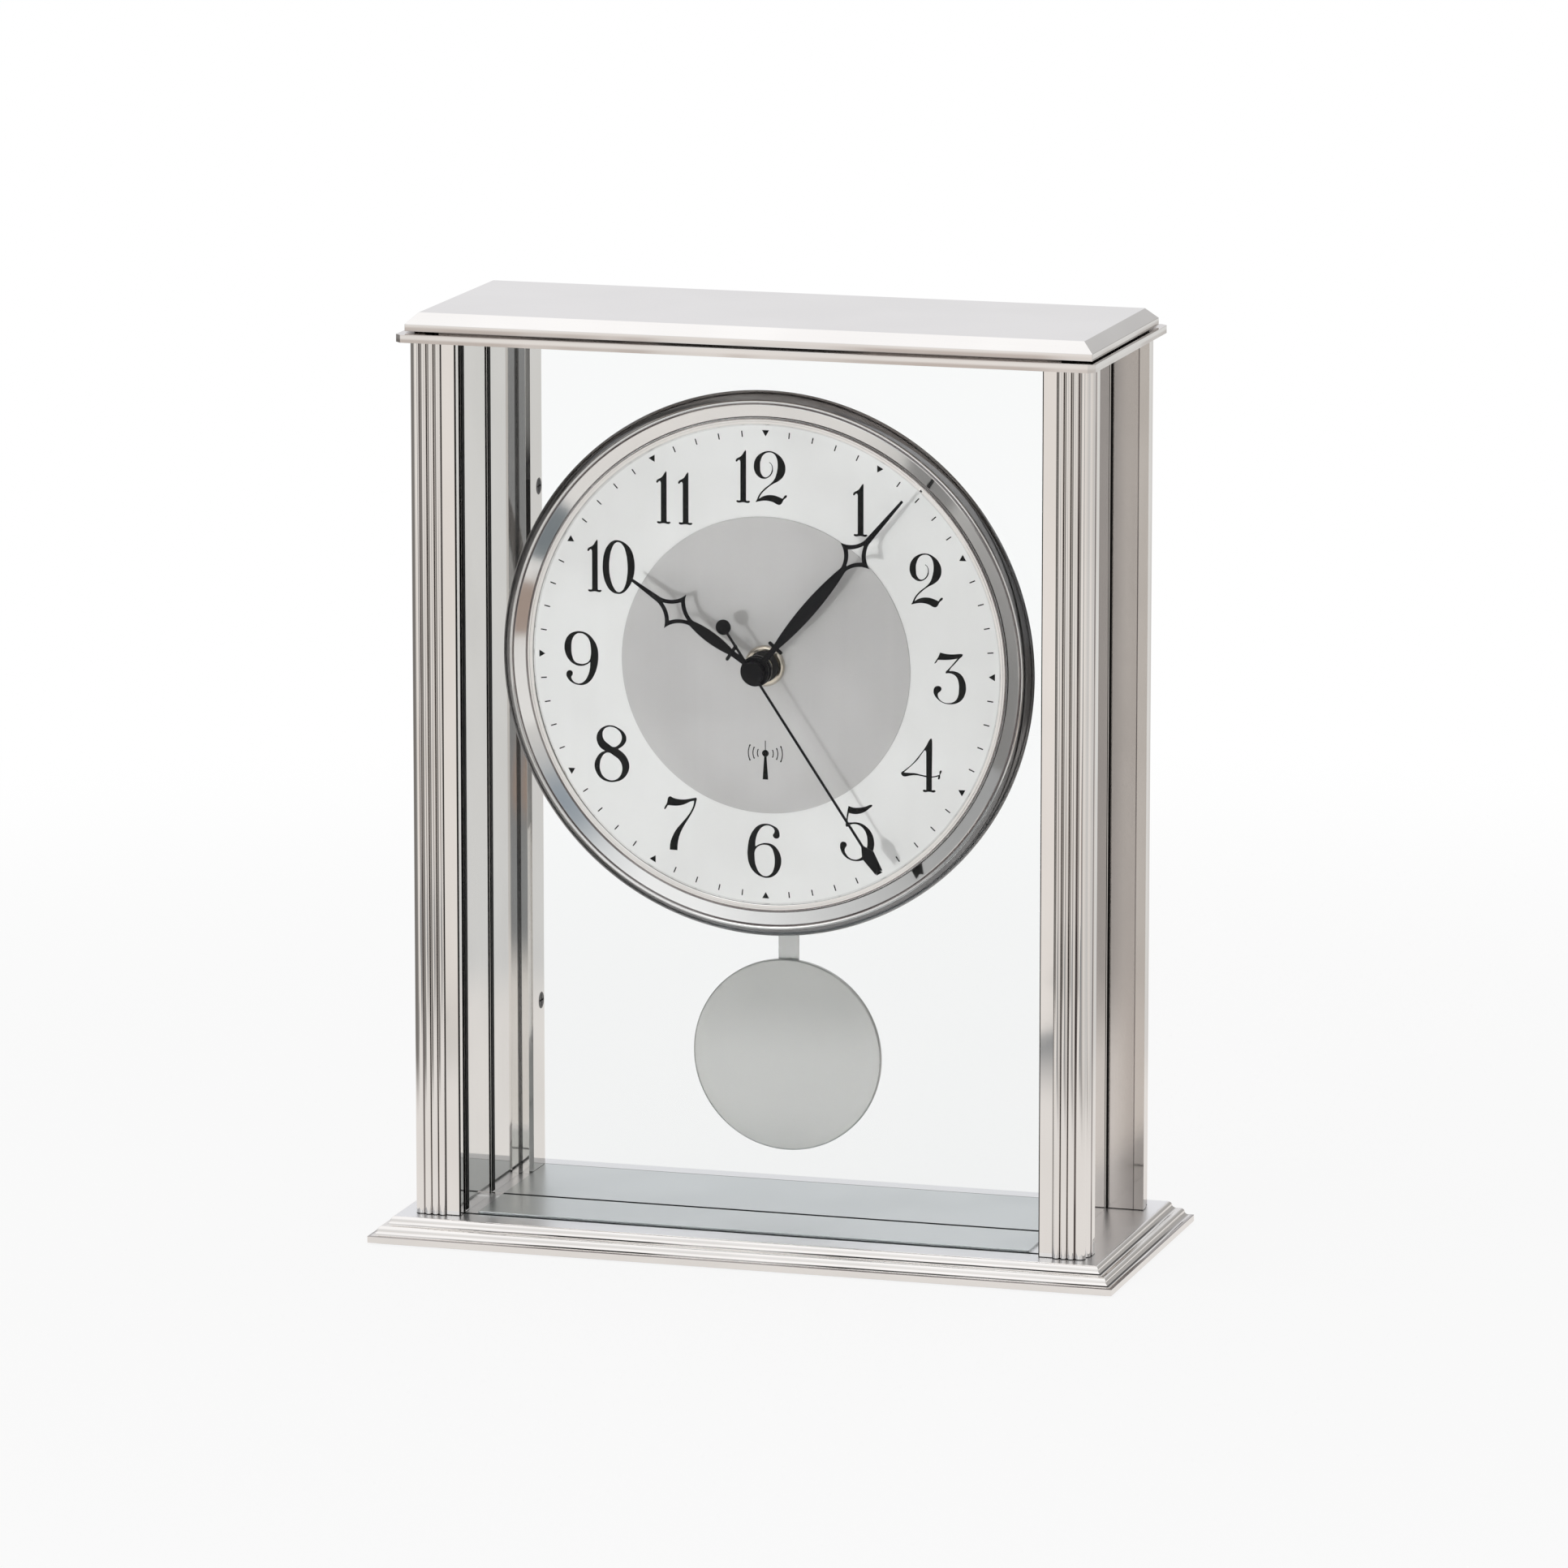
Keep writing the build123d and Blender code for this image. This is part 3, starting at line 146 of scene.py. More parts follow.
# Finishes: colours are (red, green, blue, 1), depth is in metres, and a larger grain is finer.
# streak stretches the grain along an axis where its value is small
metals = {
    "polished": {"dark": (0.86, 0.835, 0.81, 1), "light": (0.93, 0.91, 0.89, 1), "rough": 0.035,
                 "spread": 0.05, "grain": 900, "streak": (1, 1, 0.03), "depth": 0.0000012},
    "panelPolished": {"dark": (0.86, 0.84, 0.82, 1), "light": (0.93, 0.91, 0.89, 1), "rough": 0.04,
                      "spread": 0.06, "grain": 800, "streak": (1, 1, 0.03), "depth": 0.0000012},
    "pillarPolished": {"dark": (0.86, 0.835, 0.81, 1), "light": (0.93, 0.91, 0.89, 1), "rough": 0.035,
                       "spread": 0.05, "grain": 900, "streak": (1, 1, 0.03), "depth": 0.0000012},
    "capPolished": {"dark": (0.87, 0.855, 0.84, 1), "light": (0.93, 0.915, 0.90, 1), "rough": 0.03,
                    "spread": 0.045, "grain": 700, "streak": (0.04, 1, 1), "depth": 0.0000012},
    "plinthPolished": {"dark": (0.86, 0.84, 0.82, 1), "light": (0.93, 0.91, 0.89, 1), "rough": 0.03,
                       "spread": 0.045, "grain": 700, "streak": (0.04, 1, 1), "depth": 0.0000012},
    "polishedRing": {"dark": (0.84, 0.835, 0.83, 1), "light": (0.92, 0.915, 0.91, 1), "rough": 0.05,
                     "spread": 0.06, "grain": 800, "streak": (1, 1, 1), "depth": 0.000001},
    "ringWall": {"dark": (0.20, 0.20, 0.205, 1), "light": (0.28, 0.28, 0.285, 1), "rough": 0.10,
                 "spread": 0.08, "grain": 900, "streak": (1, 1, 1), "depth": 0.000001},
    "satinFloor": {"dark": (0.62, 0.655, 0.66, 1), "light": (0.70, 0.735, 0.74, 1), "rough": 0.27,
                   "spread": 0.12, "grain": 900, "streak": (0.03, 1, 1), "depth": 0.000003},
    "dialWhite": {"dark": (0.76, 0.757, 0.745, 1), "light": (0.86, 0.86, 0.85, 1), "rough": 0.42,
                  "spread": 0.1, "grain": 420, "streak": (1, 1, 0.02), "depth": 0.000006,
                  "metal": 0.0, "mirror": 0.3},
    "dialBrushed": {"dark": (0.45, 0.445, 0.44, 1), "light": (0.57, 0.565, 0.56, 1), "rough": 0.38,
                    "spread": 0.12, "grain": 480, "streak": (1, 1, 0.012), "depth": 0.000008,
                    "metal": 0.35},
    "nutBrass": {"dark": (0.62, 0.56, 0.47, 1), "light": (0.80, 0.76, 0.68, 1), "rough": 0.14,
                 "spread": 0.12, "grain": 2500, "streak": (1, 1, 1), "depth": 0.000003},
    "satinBob": {"dark": (0.46, 0.465, 0.455, 1), "light": (0.53, 0.535, 0.525, 1), "rough": 0.32,
                 "spread": 0.12, "grain": 1600, "streak": (0.02, 1, 1), "depth": 0.000004,
                 "metal": 0.8},
    "rodSteel": {"dark": (0.50, 0.51, 0.51, 1), "light": (0.57, 0.58, 0.58, 1), "rough": 0.30,
                 "spread": 0.06, "grain": 2200, "streak": (1, 1, 0.02), "depth": 0.000004},
    "darkScrew": {"dark": (0.03, 0.03, 0.032, 1), "light": (0.085, 0.083, 0.08, 1), "rough": 0.28,
                  "spread": 0.2, "grain": 3000, "streak": (1, 1, 1), "depth": 0.000006},
    "steelScrew": {"dark": (0.50, 0.50, 0.49, 1), "light": (0.70, 0.70, 0.69, 1), "rough": 0.22,
                   "spread": 0.18, "grain": 2600, "streak": (1, 1, 1), "depth": 0.000006},
    "panSteel": {"dark": (0.44, 0.45, 0.46, 1), "light": (0.62, 0.63, 0.64, 1), "rough": 0.34,
                 "spread": 0.2, "grain": 420, "streak": (1, 1, 1), "depth": 0.00001},
    "magnetNickel": {"dark": (0.36, 0.36, 0.37, 1), "light": (0.52, 0.52, 0.53, 1), "rough": 0.22,
                     "spread": 0.15, "grain": 1800, "streak": (1, 1, 1), "depth": 0.000004},
}
# Clouds and smears that every metal has, and the share that the grain takes beside them
metalBlend = {"cloudScale": 26.0, "cloudFrom": 0.35, "cloudTo": 0.65, "smearScale": 90.0,
              "smearMove": (0.3, 0.1, 0.2), "smearFrom": 0.45, "smearTo": 0.8, "grainShare": 0.4}

# Patches painted on a finish, most of them painted shade: reaches in millimetres of |x|, y, z and r (from
# the middle of the dial), the width their edges fade over, and the look they take; "broken" is how much
# of it clouds take away
patchLooks = {
    # Painted shade: near-black lines where shade falls in gaps, joints, inner corners and at the pillars'
    # feet
    "crease": {"colour": (0.03, 0.028, 0.027, 1), "rough": 0.1, "broken": 0.0},
    # Painted shade in the hollows of the plinth's steps, broken up by clouds
    "hollow": {"colour": (0.05, 0.046, 0.044, 1), "rough": 0.1, "broken": 0.7},
    # Painted shade in grooves: between the pillars' reeds, at their bead, at the bezel's bore and band,
    # and in the plinth
    "groove": {"colour": (0.26, 0.235, 0.235, 1), "rough": 0.1, "broken": 0.25},
    # Painted shade on the pillars' faces towards the side panels, which also take a rougher finish
    "dull": {"colour": (0.80, 0.77, 0.75, 1), "rough": 0.10, "broken": 0.0},
    "satin": {"colour": (0.90, 0.905, 0.92, 1), "rough": 0.27, "broken": 0.0},
    # Painted shade, warm and darker, along the lower edges of the cap slab and plate, broken up by clouds
    "warm": {"colour": (0.62, 0.57, 0.54, 1), "rough": 0.05, "broken": 0.8},
    # Painted highlight: a lighter band across the bob
    "sheen": {"colour": (0.60, 0.605, 0.595, 1), "rough": 0.0, "broken": 0.0},
}
patches = {
    # On the pillars: painted shade in the reeds' grooves, at the bead, along the inner edge and at the
    # feet, and on the faces towards the panels
    "pillarPolished": [
        {"x": (82.3, 88.12), "y": (-32.5, -31.0), "fade": 0.36, "look": "groove"},
        {"x": (82.3, 88.12), "y": (31.0, 32.5), "fade": 0.36, "look": "groove"},
        {"x": (82.1, 82.42), "y": (-32.6, -32.2), "fade": 0.1, "look": "crease"},
        {"x": (89.2, 90.22), "y": (-30.1, -29.5), "fade": 0.1, "look": "crease"},
        {"x": (90.2, 91.2), "y": (-27.7, -27.3), "fade": 0.08, "look": "groove"},
        {"x": (89.2, 90.22), "y": (29.5, 30.1), "fade": 0.1, "look": "crease"},
        {"x": (90.2, 91.2), "y": (27.3, 27.7), "fade": 0.08, "look": "groove"},
        {"x": (78.0, 78.62), "y": (-32.5, -31.8), "fade": 0.06, "look": "crease"},
        {"x": (81.3, 88.6), "y": (-25.1, 25.1), "fade": 0.05, "look": "dull"},
        {"x": (81.3, 81.85), "y": (-25.1, 25.1), "fade": 0.05, "look": "crease"},
        {"x": (88.55, 88.8), "y": (-25.1, 25.1), "fade": 0.05, "look": "groove"},
        {"z": (6.7, 7.02), "fade": 0.06, "look": "crease"}],
    # On the side panels: painted shade lines at their joints with the pillars and the rear strips
    "panelPolished": [
        {"x": (80.4, 81.3), "y": (-23.3, -22.1), "fade": 0.06, "look": "crease"},
        {"x": (80.4, 81.3), "y": (22.1, 23.3), "fade": 0.06, "look": "crease"},
        {"x": (81.2, 82.0), "y": (24.3, 25.0), "fade": 0.05, "look": "crease"},
        {"x": (78.0, 78.6), "y": (16.8, 18.5), "fade": 0.15, "look": "crease"}],
    # Painted shade line along the floor plate's rear edge
    "satinFloor": [{"y": (28.75, 30.0), "fade": 0.1, "look": "crease"}],
    # On the cap: a painted shade line in the gap between slab and plate, and painted warm shade along
    # their lower edges
    "capPolished": [
        {"x": (0, 91.4), "y": (-33.2, 33.2), "z": (239.8, 240.4), "fade": 0.06, "look": "crease"},
        {"z": (237.0, 238.5), "fade": 0.7, "look": "warm"},
        {"z": (240.4, 241.0), "fade": 0.9, "look": "warm"}],
    # On the plinth: painted shade in the hollows and the groove of its steps, and a rougher, lighter band
    # on its top
    "plinthPolished": [
        {"z": (4.80, 5.0), "fade": 0.08, "look": "hollow"},
        {"z": (2.50, 2.70), "fade": 0.08, "look": "hollow"},
        {"z": (2.20, 2.30), "fade": 0.05, "look": "groove"},
        {"z": (6.82, 7.0), "fade": 0.02, "look": "satin"}],
    # On the bezel: painted shade rings at its bore and at the foot of its band
    "polishedRing": [
        {"r": (64.35, 65.05), "fade": 0.12, "look": "groove"},
        {"r": (68.2, 68.5), "fade": 0.08, "look": "groove"}],
    "satinBob": [{"z": (36, 44), "fade": 22, "look": "sheen"}],
}
patchClouds = {"scale": 22.0, "move": (0.2, 0.4, 0.1), "from": 0.42, "to": 0.6}
headCentre = (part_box("dial_plate")[0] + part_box("dial_plate")[1]) / 2


def patchMask(wire, patch):
    x, y, z = wire.place().axes()
    up = z - headCentre.z
    square = x * x + up * up
    places = {"x": x.maths("ABSOLUTE", x, 0), "y": y, "z": z, "r": square.maths("SQRT", square, 0)}
    mask = 1
    for axis in ("x", "y", "z", "r"):
        if axis in patch:
            low, high, soft = [value * millimetre for value in (*patch[axis], patch["fade"])]
            mask = places[axis].step(low - soft, low) * (1 - places[axis].step(high, high + soft)) * mask
    clouds = wire.noise(wire.place(move=patchClouds["move"]), patchClouds["scale"], detail=2.0)
    broken = patchLooks[patch["look"]]["broken"]
    return mask * (1 - broken * clouds.step(patchClouds["from"], patchClouds["to"]))


def metalMaterial(name, look):
    material, wire = newMaterial(name)
    blend, share = metalBlend, metalBlend["grainShare"]
    grain = wire.noise(wire.place(look["streak"]), look["grain"], detail=4.0, rough=0.6)
    cloud = wire.noise(wire.place(), blend["cloudScale"], detail=2.0)
    cloud = cloud.step(blend["cloudFrom"], blend["cloudTo"])
    smear = wire.noise(wire.place(move=blend["smearMove"]), blend["smearScale"], detail=5.0, rough=0.65)
    smear = smear.step(blend["smearFrom"], blend["smearTo"])
    colour = wire.mix(cloud * (1 - share) + grain * share, look["dark"], look["light"])
    rough = look["rough"] + look["spread"] * (smear * (1 - share) + grain * share)
    for patch in patches.get(name, []):
        mask = patchMask(wire, patch)
        colour = wire.mix(mask, colour, patchLooks[patch["look"]]["colour"])
        rough = rough + mask * patchLooks[patch["look"]]["rough"]
    return closeMaterial(material, wire, {
        "Base Color": colour,
        "Metallic": look.get("metal", 1.0),
        "Specular IOR Level": look.get("mirror", 0.5),
        "Roughness": rough,
        "Normal": wire.bump(grain, look["depth"]),
    })


# Paints and plastics: the larger speckle is, the finer the moulded grain
paints = {
    "handBlack": {"dark": (0.005, 0.005, 0.006, 1), "light": (0.012, 0.012, 0.013, 1), "rough": 0.28,
                  "spread": 0.15, "speckle": 2600, "depth": 0.000006, "mirror": 0.08},
    "printBlack": {"dark": (0.008, 0.008, 0.008, 1), "light": (0.016, 0.016, 0.016, 1), "rough": 0.5,
                   "spread": 0.15, "speckle": 3000, "depth": 0.000003, "mirror": 0.04},
    "felt": {"dark": (0.012, 0.012, 0.013, 1), "light": (0.05, 0.05, 0.052, 1), "rough": 0.92,
             "spread": 0.08, "speckle": 2600, "depth": 0.00012, "mirror": 0.1},
    "washer": {"dark": (0.03, 0.028, 0.026, 1), "light": (0.09, 0.085, 0.08, 1), "rough": 0.75,
               "spread": 0.15, "speckle": 1800, "depth": 0.00004, "mirror": 0.3},
    "caseBlack": {"dark": (0.012, 0.012, 0.013, 1), "light": (0.03, 0.03, 0.031, 1), "rough": 0.42,
                  "spread": 0.2, "speckle": 2300, "depth": 0.00004, "mirror": 0.4},
    "wheelPlastic": {"dark": (0.66, 0.60, 0.46, 1), "light": (0.80, 0.76, 0.64, 1), "rough": 0.38,
                     "spread": 0.15, "speckle": 1500, "depth": 0.00001, "mirror": 0.5},
    "buttonPlastic": {"dark": (0.60, 0.60, 0.58, 1), "light": (0.74, 0.74, 0.72, 1), "rough": 0.35,
                      "spread": 0.15, "speckle": 1700, "depth": 0.00001, "mirror": 0.5},
}
paintBlend = {"cloudScale": 45.0, "cloudFrom": 0.3, "cloudTo": 0.7, "speckleShare": 0.5,
              "speckleMiddle": 0.5}

def paintMaterial(name, look):
    material, wire = newMaterial(name)
    speckle = wire.noise(wire.place(), look["speckle"], detail=2.0, rough=0.6)
    cloud = wire.noise(wire.place(), paintBlend["cloudScale"])
    cloud = cloud.step(paintBlend["cloudFrom"], paintBlend["cloudTo"])
    share = paintBlend["speckleShare"]
    return closeMaterial(material, wire, {
        "Base Color": wire.mix(cloud * (1 - share) + speckle * share, look["dark"], look["light"]),
        "Roughness": look["rough"] + look["spread"] * (speckle - paintBlend["speckleMiddle"]),
        "Specular IOR Level": look["mirror"],
        "Normal": wire.bump(speckle, look["depth"]),
    })


# Glass of the two panes; lamps shine through it without a shadow
glassLook = {"tint": (0.971, 0.976, 0.975, 1), "ior": 1.12, "haze": 0.004, "smearScale": 120.0,
             "wave": 0.0000006, "waveScale": 14.0, "waveStretch": (1, 1, 0.35)}


def glassMaterial(name):
    material, wire = newMaterial(name)
    wave = wire.noise(wire.place(glassLook["waveStretch"]), glassLook["waveScale"], detail=1.0)
    smear = wire.noise(wire.place(), glassLook["smearScale"], detail=5.0, rough=0.6)
    glass = wire.node("ShaderNodeBsdfPrincipled", None, {
        "Base Color": glassLook["tint"],
        "Transmission Weight": 1.0,
        "IOR": glassLook["ior"],
        "Roughness": glassLook["haze"] * smear,
        "Normal": wire.bump(wave, glassLook["wave"]),
    })
    clear = wire.node("ShaderNodeBsdfTransparent", None, {"Color": glassLook["tint"]})
    lampRay = wire.node("ShaderNodeLightPath", out=1)
    both = wire.node("ShaderNodeMixShader", None, {0: lampRay, 1: glass, 2: clear})
    wire.node("ShaderNodeOutputMaterial", None, {"Surface": both})
    return material


# Circuit board: green lacquer over copper tracks laid like bricks, with solder pads.
# rowsInUnit is how many rows of bricks Blender lays in a unit at a scale of 1
boardLook = {"lacquer": (0.012, 0.09, 0.04, 1), "track": (0.03, 0.17, 0.07, 1),
             "pad": (0.62, 0.60, 0.55, 1), "pitch": 0.0025, "rowsInUnit": 4, "trackWide": 0.03,
             "trackSoft": 0.1, "padShare": 0.17, "padFade": 0.05, "padStray": 0.25, "padMetal": 0.8,
             "rough": 0.32, "padGloss": 0.1, "rise": 0.00004}


def boardMaterial(name):
    material, wire = newMaterial(name)
    look = boardLook
    tracks = wire.node("ShaderNodeTexBrick", {"offset": 0.5}, {
        "Vector": wire.place(turn=(math.radians(90), 0, 0)),
        "Scale": 1 / look["pitch"] / look["rowsInUnit"],
        "Mortar Size": look["trackWide"], "Mortar Smooth": look["trackSoft"],
        "Color1": (0, 0, 0, 1), "Color2": (0, 0, 0, 1), "Mortar": (1, 1, 1, 1)}, out=1)
    pads = wire.node("ShaderNodeTexVoronoi", {"feature": "F1"}, {
        "Vector": wire.place(), "Scale": 1 / look["pitch"], "Randomness": look["padStray"]})
    pad = 1 - pads.step(look["padShare"], look["padShare"] + look["padFade"])
    base = wire.mix(tracks, look["lacquer"], look["track"])
    return closeMaterial(material, wire, {
        "Base Color": wire.mix(pad, base, look["pad"]),
        "Metallic": pad * look["padMetal"],
        "Roughness": look["rough"] - pad * look["padGloss"],
        "Normal": wire.bump(tracks + pad, look["rise"]),
    })


# Copper windings: turns side by side along x; waveLength is a wave's length at a scale of 1
windingLook = {"dark": (0.30, 0.10, 0.035, 1), "light": (0.72, 0.30, 0.13, 1), "wire": 0.00028,
               "waveLength": 0.314, "stray": 0.25, "metal": 0.85, "rough": 0.34, "gloss": 0.1,
               "rise": 0.00012}


def windingMaterial(name):
    material, wire = newMaterial(name)
    look = windingLook
    settings = {"wave_type": "BANDS", "bands_direction": "X", "wave_profile": "SIN"}
    turns = wire.node("ShaderNodeTexWave", settings, {
        "Vector": wire.place(), "Scale": look["waveLength"] / look["wire"],
        "Distortion": look["stray"], "Detail": 1.0}, out=1)
    return closeMaterial(material, wire, {
        "Base Color": wire.mix(turns, look["dark"], look["light"]),
        "Metallic": look["metal"],
        "Roughness": look["rough"] - turns * look["gloss"],
        "Normal": wire.bump(turns, look["rise"]),
    })


# Round cell: a plain two-colour sleeve with bare metal at its ends, placed as shares of its length
cellLook = {"sleeve": (0.014, 0.014, 0.016, 1), "band": (0.50, 0.26, 0.09, 1),
            "metal": (0.66, 0.66, 0.65, 1), "bandFrom": 0.70, "capFrom": 0.963, "footTo": 0.012,
            "endMetal": 0.9, "bandMetal": 0.6, "speckle": 900.0, "rough": 0.24, "spread": 0.12,
            "depth": 0.000006}


def cellMaterial(name, low, high):
    material, wire = newMaterial(name)
    look = cellLook
    along = (wire.place().axes()[0] - low.x) * (1 / (high.x - low.x))
    speckle = wire.noise(wire.place(), look["speckle"], detail=2.0)
    band = along > look["bandFrom"]
    ends = (along > look["capFrom"]) + (1 - (along > look["footTo"]))
    sleeve = wire.mix(band, look["sleeve"], look["band"])
    return closeMaterial(material, wire, {
        "Base Color": wire.mix(ends, sleeve, look["metal"]),
        "Metallic": ends * look["endMetal"] + band * (1 - ends) * look["bandMetal"],
        "Roughness": look["rough"] + speckle * look["spread"],
        "Normal": wire.bump(speckle, look["depth"]),
    })


materials = {name: metalMaterial(name, look) for name, look in metals.items()}
materials.update({name: paintMaterial(name, look) for name, look in paints.items()})
materials["pane"] = glassMaterial("pane")
materials["board"] = boardMaterial("board")
materials["windingAcross"] = windingMaterial("windingAcross")
materials["cell"] = cellMaterial("cell", *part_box("battery"))
finishOfSlot = {
    "polished": "polished", "polished_ring": "polishedRing", "satin_floor": "satinFloor",
    "pane": "pane", "dial_white": "dialWhite", "dial_brushed": "dialBrushed",
    "hand_black": "handBlack", "nut_brass": "nutBrass", "satin_bob": "satinBob",
    "rod_steel": "rodSteel", "dark_screw": "darkScrew", "steel_screw": "steelScrew",
    "pan_steel": "panSteel", "felt": "felt", "washer": "washer", "case_black": "caseBlack",
    "wheel_plastic": "wheelPlastic", "button_plastic": "buttonPlastic", "board": "board",
    "copper": "windingAcross", "magnet": "magnetNickel", "cell": "cell",
}
finishOfNode = {
    "cap_slab": "capPolished", "cap_plate": "capPolished", "base_plinth": "plinthPolished",
    "side_panel_left": "panelPolished", "side_panel_right": "panelPolished",
    "pillar_front_left": "pillarPolished", "pillar_front_right": "pillarPolished",
    "pillar_rear_left": "pillarPolished", "pillar_rear_right": "pillarPolished",
}
for node, thing in frame["nodes"].items():
    finish = finishOfNode.get(node, finishOfSlot[slotOfNode[node]])
    thing.data.materials.clear()
    thing.data.materials.append(materials[finish])
print("finishes set:", len(materials))


# Pieces
def makePiece(name, bm, material, body, nodes=(), sharp=30.0):
    mesh = bpy.data.meshes.new(name)
    bm.to_mesh(mesh)
    bm.free()
    mesh.polygons.foreach_set("use_smooth", [True] * len(mesh.polygons))
    mesh.set_sharp_from_angle(angle=math.radians(sharp))
    piece = bpy.data.objects.new(name, mesh)
    bpy.context.scene.collection.objects.link(piece)
    mesh.materials.append(material)
    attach(piece, body)
    if nodes:
        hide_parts(*nodes)
    return piece


# Nodes shown by a copy whose edges are broken, with the width of that break in millimetres
brokenEdges = {
    "base_plinth": 0.12, "cap_slab": 0.16, "cap_plate": 0.14, "floor_plate": 0.08,
    "pillar_front_left": 0.06, "pillar_front_right": 0.06, "pillar_rear_left": 0.06,
    "pillar_rear_right": 0.06, "side_panel_left": 0.1, "side_panel_right": 0.1,
    "rear_strip_left": 0.12, "rear_strip_right": 0.12, "dial_centre": 0.06,
    "hour_hand": 0.07, "minute_hand": 0.07, "second_hand": 0.05, "pendulum_rod": 0.07,
    "pendulum_arm": 0.12, "bob_clips": 0.08, "movement_case": 0.25, "movement_cover": 0.2,
    "set_button": 0.12, "receive_button": 0.12, "reset_button": 0.12, "cover_screws": 0.06,
    "strip_screws": 0.06, "hand_nut": 0.06, "pivot_pin": 0.08, "battery": 0.3,
}
edgeLook = {"merge": 0.000001, "flat": 0.6, "sharp": 32.0, "segments": 2, "shadeAngle": 40}


def brokenCopy(node, width):
    bm = bmesh.new()
    bm.from_mesh(frame["nodes"][node].data)
    bmesh.ops.remove_doubles(bm, verts=bm.verts, dist=edgeLook["merge"])
    flat = math.radians(edgeLook["flat"])
    bmesh.ops.dissolve_limit(bm, angle_limit=flat, verts=bm.verts, edges=bm.edges)
    limit = math.radians(edgeLook["sharp"])
    sharp = [e for e in bm.edges if len(e.link_faces) == 2 and e.calc_face_angle(0) > limit]
    bmesh.ops.bevel(bm, geom=sharp, offset=width * millimetre, offset_type="OFFSET", affect="EDGES",
                    segments=edgeLook["segments"], profile=0.5, material=-1, clamp_overlap=True)
    material = frame["nodes"][node].data.materials[0]
    piece = makePiece(node + "_finished", bm, material, bodyOfNode[node], [node],
                      edgeLook["shadeAngle"])
    weighted = piece.modifiers.new("flatFaces", "WEIGHTED_NORMAL")
    weighted.keep_sharp = True


for node, width in brokenEdges.items():
    brokenCopy(node, width)
print("edges broken on", len(brokenEdges), "nodes")


# Rings of the head: profiles are (radius, depth) in millimetres
headLook = {"steps": 288, "bore": 64.8, "bandEdge": 68.1, "bandDeep": 0.9, "lipRise": 0.45,
            "groove": 0.35, "crownPoints": 7, "crownRise": 0.32, "rimEdge": 69.45, "edgeBreak": 0.1,
            "heelGap": 0.4, "heelInner": 0.6, "flareRadius": 71.6, "flareBack": 2.7, "flarePoints": 9,
            "flareBow": 0.62, "flareBowAt": 0.44, "wallBack": 69.95, "wallThick": 0.25,
            "wallInner": 0.45}


def arcThrough(start, middle, end, points):
    x0, y0 = start
    x1, y1 = middle
    x2, y2 = end
    ratio = [i / (points - 1) for i in range(points)]
    bend = (2 * x1 - (x0 + x2) / 2, 2 * y1 - (y0 + y2) / 2)
    return [((1 - t) ** 2 * x0 + 2 * t * (1 - t) * bend[0] + t * t * x2,
             (1 - t) ** 2 * y0 + 2 * t * (1 - t) * bend[1] + t * t * y2) for t in ratio]


def spunPiece(name, profile, front, material, nodes, sharp=25.0):
    bm = bmesh.new()
    rows = [bm.verts.new((headCentre.x + r * millimetre, front + y * millimetre, headCentre.z))
            for r, y in profile]
    loop = [bm.edges.new((rows[i], rows[(i + 1) % len(rows)])) for i in range(len(rows))]
    bmesh.ops.spin(bm, geom=loop + rows, cent=headCentre, axis=(0, 1, 0), angle=math.tau,
                   steps=headLook["steps"], use_merge=True, use_duplicate=False)
    bmesh.ops.remove_doubles(bm, verts=bm.verts, dist=edgeLook["merge"])
    bmesh.ops.recalc_face_normals(bm, faces=bm.faces)
    makePiece(name, bm, material, "case", nodes, sharp)


def makeBezel():
    low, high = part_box("bezel_ring")
    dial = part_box("dial_plate")[0].y / millimetre
    look = headLook
    cut = look["edgeBreak"]
    bore, band, rim = look["bore"], look["bandEdge"], look["rimEdge"]
    front = low.y / millimetre - look["lipRise"] + look["crownRise"]
    inner = front + look["bandDeep"]
    cone = [(bore, dial), (bore, inner + cut), (bore + cut, inner)]
    cone += [(band - cut, front), (band, front + cut)]
    foot = (band + look["groove"], front + look["groove"])
    brink, gap = (rim, front + cut), look["heelGap"]
    crown = arcThrough(foot, ((foot[0] + rim) / 2, front - look["crownRise"]), brink, look["crownPoints"])
    heel = [(rim - gap, dial + gap), (bore + look["heelInner"], dial + gap)]
    spunPiece("bezel_finished", cone + crown + heel, 0, materials["polishedRing"],
              ["bezel_ring"])
    wide, deep = look["flareRadius"], look["flareBack"]
    bow = (wide - look["flareBow"], front + deep * look["flareBowAt"])
    flare = arcThrough(brink, bow, (wide, front + deep), look["flarePoints"])
    back = high.y / millimetre
    wall = flare + [(look["wallBack"], back), (look["wallBack"] - look["wallThick"], back)]
    wall += [(rim - look["wallInner"], dial + gap), (rim - look["wallInner"], front + gap)]
    spunPiece("bezel_wall", wall, 0, materials["ringWall"], ["bezel_ring"])


# Inner ring: its front as (inset from the outer edge, depth), its back as (inset, rise from the rear)
ringLook = {"front": [(0, 0.06), (0.06, 0), (0.62, 0), (0.68, 0.07), (0.76, 0.07), (0.82, 0.02),
                      (1.44, 0.02), (1.5, 0.06)],
            "back": [(1.97, 0.1), (2, 0)]}


def makeInnerRing():
    low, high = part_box("inner_ring")
    front = low.y
    outer = (high.x - low.x) / 2 / millimetre
    deep = (high.y - low.y) / millimetre
    profile = [(outer, deep)] + [(outer - inset, depth) for inset, depth in ringLook["front"]]
    profile += [(outer - inset, deep - rise) for inset, rise in ringLook["back"]]
    spunPiece("inner_ring_finished", profile, front, materials["polishedRing"],
              ["inner_ring"])


makeBezel()
makeInnerRing()
print("head rings made")

# Thin black strips that lie behind the panes along the side walls
paneStripLook = {"thick": 0.2, "wide": 2.3, "gap": 0.3, "round": 0.08, "segments": 3, "uprightFrom": 100}


